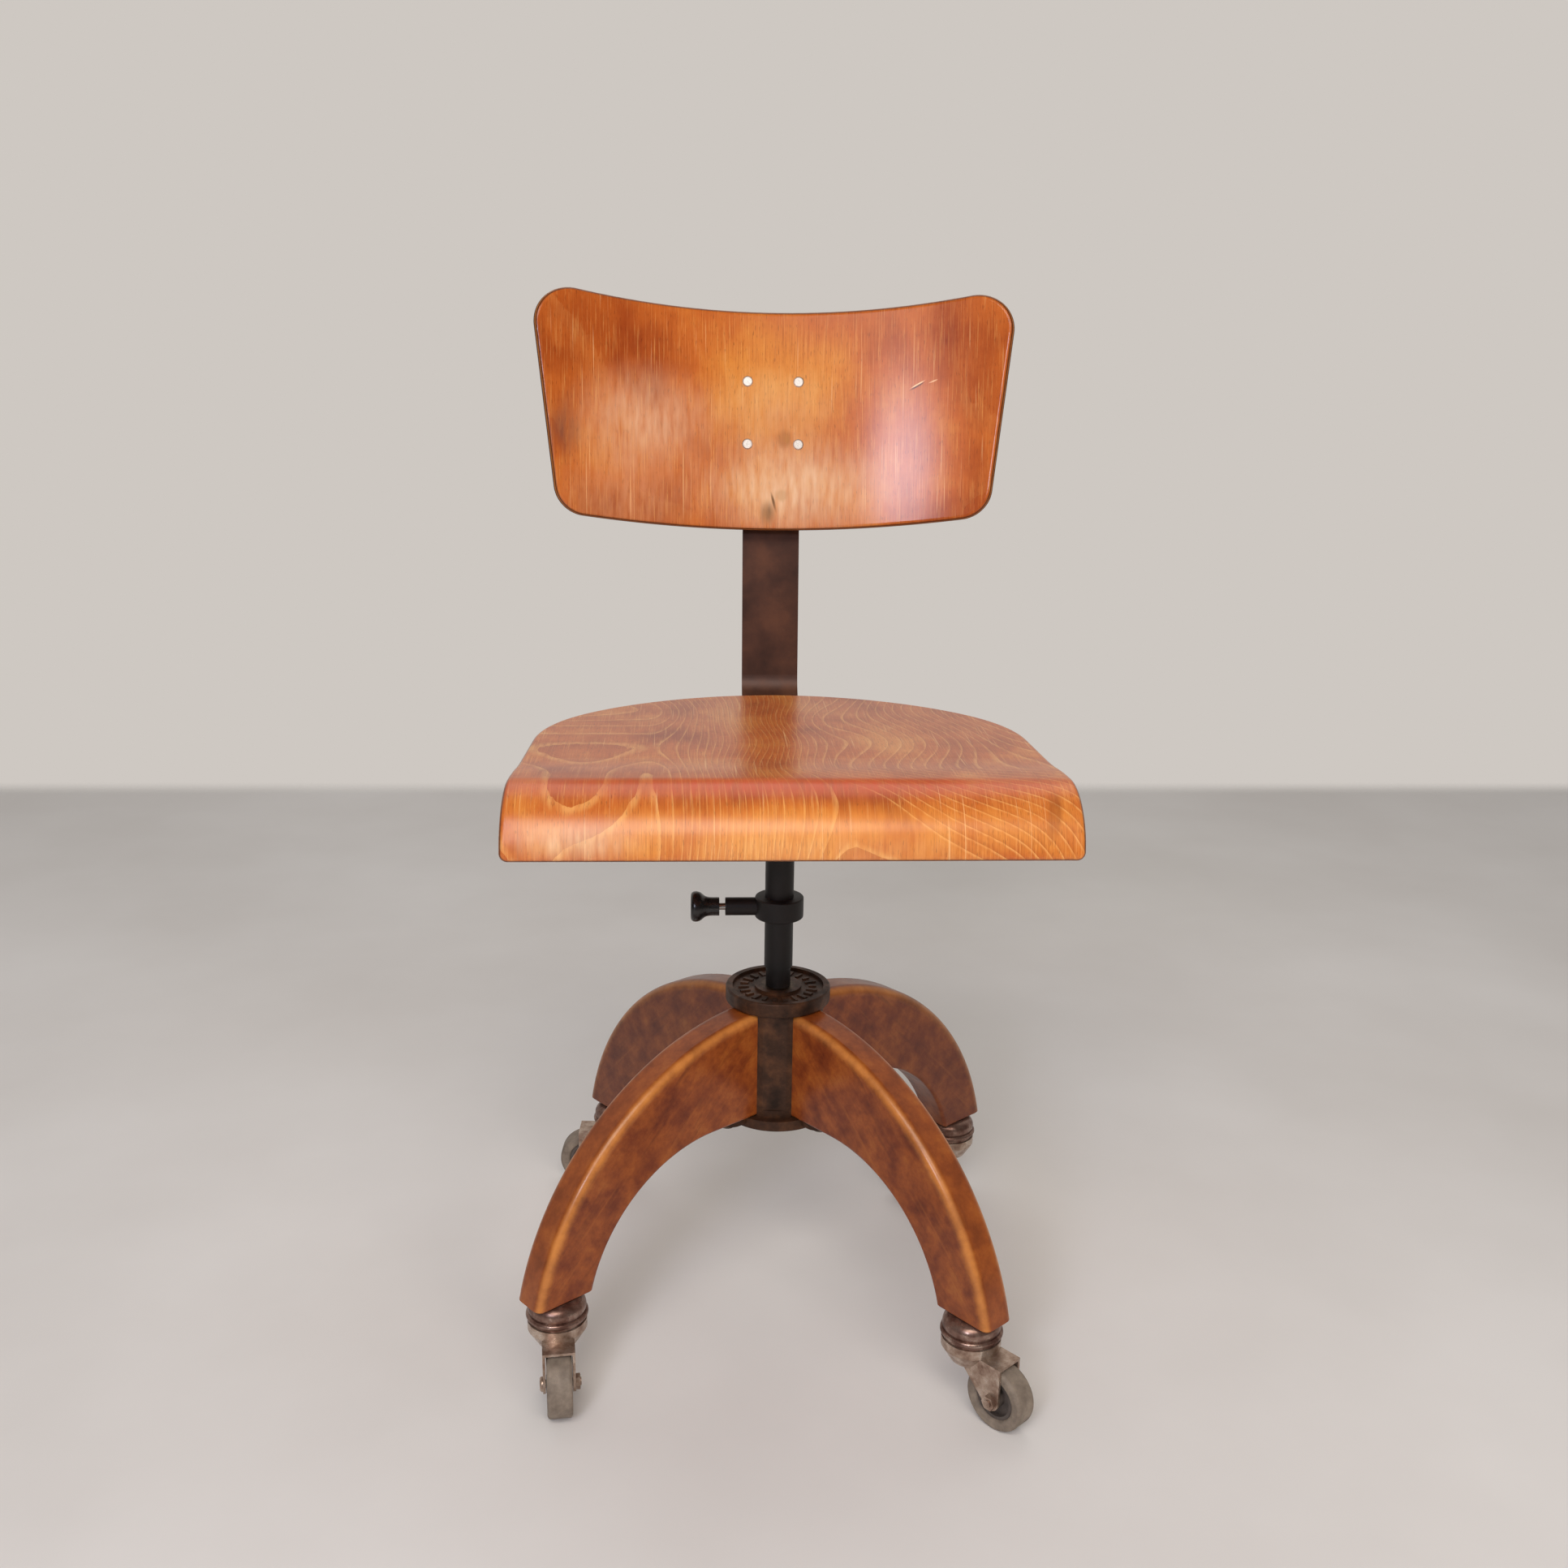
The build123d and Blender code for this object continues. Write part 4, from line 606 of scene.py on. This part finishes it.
# Hub: the flange's recess carries a ring of raised bars. A bar is its full size times a share between the
# least and the most, and its middle stands above the recess's floor by a share of its height.
MARK_COUNT = 22
MARK_RING_R = 28.0 * MM
MARK_SIZE = (9.5 * MM, 3.4 * MM, 1.4 * MM)
MARK_LEAST = (0.6, 0.5, 1.0)
MARK_MOST = (1.0, 1.0, 1.0)
MARK_RISE = 0.4
MARK_SEED = 5
RECESS_DEPTH = 2.5 * MM


def cast_marks(finish):
    """A ring of short raised bars, of uneven length, that stand on the floor of the flange's recess."""
    hub_low, hub_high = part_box("hub_casting")
    bar_centre = (0.0, 0.0, hub_high.z - RECESS_DEPTH + MARK_RISE * MARK_SIZE[2])
    wanted = [
        ("Count", "NodeSocketInt", MARK_COUNT),
        ("Ring Radius", "NodeSocketFloat", MARK_RING_R),
        ("Bar Size", "NodeSocketVector", MARK_SIZE),
        ("Bar Centre", "NodeSocketVector", bar_centre),
        ("Seed", "NodeSocketInt", MARK_SEED),
    ]
    tree = bpy.data.node_groups.new("cast_mark_ring", "GeometryNodeTree")
    tree.interface.new_socket("Geometry", in_out="OUTPUT", socket_type="NodeSocketGeometry")
    piece = bpy.data.objects.new("cast_marks", bpy.data.meshes.new("cast_marks"))
    bpy.context.scene.collection.objects.link(piece)
    modifier = piece.modifiers.new("cast_mark_ring", "NODES")
    sockets = [tree.interface.new_socket(name, in_out="INPUT", socket_type=kind)
               for name, kind, value in wanted]
    given = add(tree, "NodeGroupInput")
    ring = add(tree, "GeometryNodeMeshCircle",
               {"Vertices": given.outputs["Count"], "Radius": given.outputs["Ring Radius"]})
    bar = add(tree, "GeometryNodeMeshCube", {"Size": given.outputs["Bar Size"]})
    outward = add(tree, "FunctionNodeAlignRotationToVector",
                  {"Vector": add(tree, "GeometryNodeInputPosition")}, axis="X")
    uneven = add(tree, "FunctionNodeRandomValue",
                 {0: MARK_LEAST, 1: MARK_MOST, "Seed": given.outputs["Seed"]}, data_type="FLOAT_VECTOR")
    bars = add(tree, "GeometryNodeInstanceOnPoints",
               {"Points": ring, "Instance": bar, "Rotation": outward, "Scale": uneven})
    lifted = add(tree, "GeometryNodeTransform",
                 {"Geometry": bars, "Translation": given.outputs["Bar Centre"]})
    real = add(tree, "GeometryNodeRealizeInstances", {"Geometry": lifted})
    dressed = add(tree, "GeometryNodeSetMaterial", {"Geometry": real, "Material": finish})
    add(tree, "NodeGroupOutput", {0: dressed})
    modifier.node_group = tree
    for socket, (name, kind, value) in zip(sockets, wanted):
        modifier[socket.identifier] = value
    shaped = piece.evaluated_get(bpy.context.evaluated_depsgraph_get())
    piece.data = bpy.data.meshes.new_from_object(shaped)
    piece.modifiers.remove(modifier)
    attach(piece, "base")


cast_marks(finishes["cast_hub"])

# Plunger: its spring is a copy of the part's mesh, carried with the seat in place of the part
spring = bpy.data.objects.new("coil_spring", frame["nodes"]["plunger_spring"].data.copy())
bpy.context.scene.collection.objects.link(spring)
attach(spring, "seat")
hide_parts("plunger_spring")
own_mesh(spring)


def build_floor():
    """A wide, plain pale floor that fades out behind the chair, where the backdrop begins."""
    mesh = bpy.data.meshes.new("studio_floor")
    sheet = bmesh.new()
    bmesh.ops.create_grid(sheet, x_segments=1, y_segments=1, size=FLOOR_HALF)
    sheet.to_mesh(mesh)
    sheet.free()
    floor = bpy.data.objects.new("studio_floor", mesh)
    bpy.context.scene.collection.objects.link(floor)
    material, tree = new_material("pale_studio_floor")
    place = place_mm(tree)
    coordinates = add(tree, "ShaderNodeSeparateXYZ", {0: place})
    cloud = add(tree, "ShaderNodeTexNoise", {"Vector": place, "Scale": 1 / FLOOR_CLOUD, "Detail": 6.0})
    colour = ramp_stops(add(tree, "ShaderNodeValToRGB", {0: cloud}), FLOOR_TONES)
    kept = add(tree, "ShaderNodeMapRange",
               {"Value": coordinates.outputs["Y"], "From Min": FLOOR_FADE[0], "From Max": FLOOR_FADE[1],
                "To Min": 1.0, "To Max": 0.0}, interpolation_type="SMOOTHSTEP")
    shader = add(tree, "ShaderNodeBsdfPrincipled", {"Base Color": colour, "Alpha": kept, "Roughness": 0.7})
    add(tree, "ShaderNodeOutputMaterial", {"Surface": shader})
    mesh.materials.append(material)


def build_backdrop():
    """A world that shows the eye a pale backdrop and gives soft light all round. Varnish and metal mirror
    the backdrop too, and it is dim for them in front of the chair, so that they keep their colour."""
    world = bpy.data.worlds.new("studio_backdrop")
    world.use_nodes = True
    tree = world.node_tree
    tree.nodes.clear()
    path = add(tree, "ShaderNodeLightPath")
    seen = add(tree, "ShaderNodeMath",
               {0: path.outputs["Is Camera Ray"], 1: path.outputs["Is Glossy Ray"]}, operation="MAXIMUM")
    shown = add(tree, "ShaderNodeMath", {0: seen, 1: path.outputs["Is Transmission Ray"]},
                operation="MAXIMUM")
    heading = add(tree, "ShaderNodeTexCoord")
    split = add(tree, "ShaderNodeSeparateXYZ", {0: heading.outputs["Generated"]})
    behind = add(tree, "ShaderNodeMapRange",
                 {"Value": split.outputs["Y"], "From Min": FRONT_HEADINGS[0], "From Max": FRONT_HEADINGS[1],
                  "To Min": FRONT_LEVEL, "To Max": 1.0},
                 interpolation_type="SMOOTHSTEP")
    level = add(tree, "ShaderNodeMath", {0: behind, 1: path.outputs["Is Camera Ray"]}, operation="MAXIMUM")
    light = add(tree, "ShaderNodeBackground", {"Color": paint(SOFT_LIGHT_HEX), "Strength": SOFT_LIGHT})
    backdrop = add(tree, "ShaderNodeBackground", {"Color": paint(BACKDROP_HEX), "Strength": level})
    mixed = add(tree, "ShaderNodeMixShader", {0: shown, 1: light, 2: backdrop})
    add(tree, "ShaderNodeOutputWorld", {"Surface": mixed})
    bpy.context.scene.world = world


def soft_light(name, place, target, size, power, hex_code, mirrored=True):
    """A round soft box at a place, turned to a target. One that isn't mirrored leaves no glare on varnish."""
    lamp = bpy.data.lights.new(name, "AREA")
    lamp.shape = "ELLIPSE"
    lamp.size, lamp.size_y = size
    lamp.energy = power
    lamp.color = paint(hex_code)[:3]
    box = bpy.data.objects.new(name, lamp)
    box.visible_camera = False
    box.visible_glossy = mirrored
    box.location = place
    box.rotation_euler = (Vector(target) - Vector(place)).to_track_quat("-Z", "Y").to_euler()
    bpy.context.scene.collection.objects.link(box)


def build_camera():
    """The photograph's camera."""
    camera = bpy.data.cameras.new("photo_camera")
    camera.sensor_width = SENSOR_MM
    camera.lens = FOCAL_PX / PICTURE_PX * SENSOR_MM
    turn = radians(CHAIR_TURN)
    place = Vector((-CAMERA_DISTANCE * sin(turn), -CAMERA_DISTANCE * cos(turn), CAMERA_HEIGHT))
    heading = Matrix.Rotation(-radians(CHAIR_TURN + CAMERA_PAN), 4, "Z")
    pitch = Matrix.Rotation(pi / 2 - radians(CAMERA_PITCH), 4, "X")
    roll = Matrix.Rotation(radians(CAMERA_ROLL), 4, "Z")
    holder = bpy.data.objects.new("photo_camera", camera)
    holder.matrix_world = Matrix.Translation(place) @ heading @ pitch @ roll
    bpy.context.scene.collection.objects.link(holder)
    bpy.context.scene.camera = holder


build_floor()
build_backdrop()
soft_light("window_left", place=(-0.81, -2.0, 1.23), target=(0.05, 0.1, 0.62), size=(0.5, 0.3),
           power=12.0, hex_code="E6EAFF")
soft_light("window_right", place=(0.95, -2.0, 1.05), target=(-0.05, 0.1, 0.62), size=(1.0, 0.9),
           power=13.0, hex_code="FFF4EA", mirrored=False)
soft_light("window_top", place=(-0.35, -1.8, 2.0), target=(0.0, 0.0, 0.45), size=(1.8, 1.0),
           power=29.0, hex_code="FFF8F0")
soft_light("ceiling_box", place=(0.0, 1.3, 2.7), target=(0.0, 0.9, 0.0), size=(2.6, 2.0),
           power=16.0, hex_code="FFFAF4")
build_camera()
bpy.context.scene.view_settings.view_transform = "Standard"
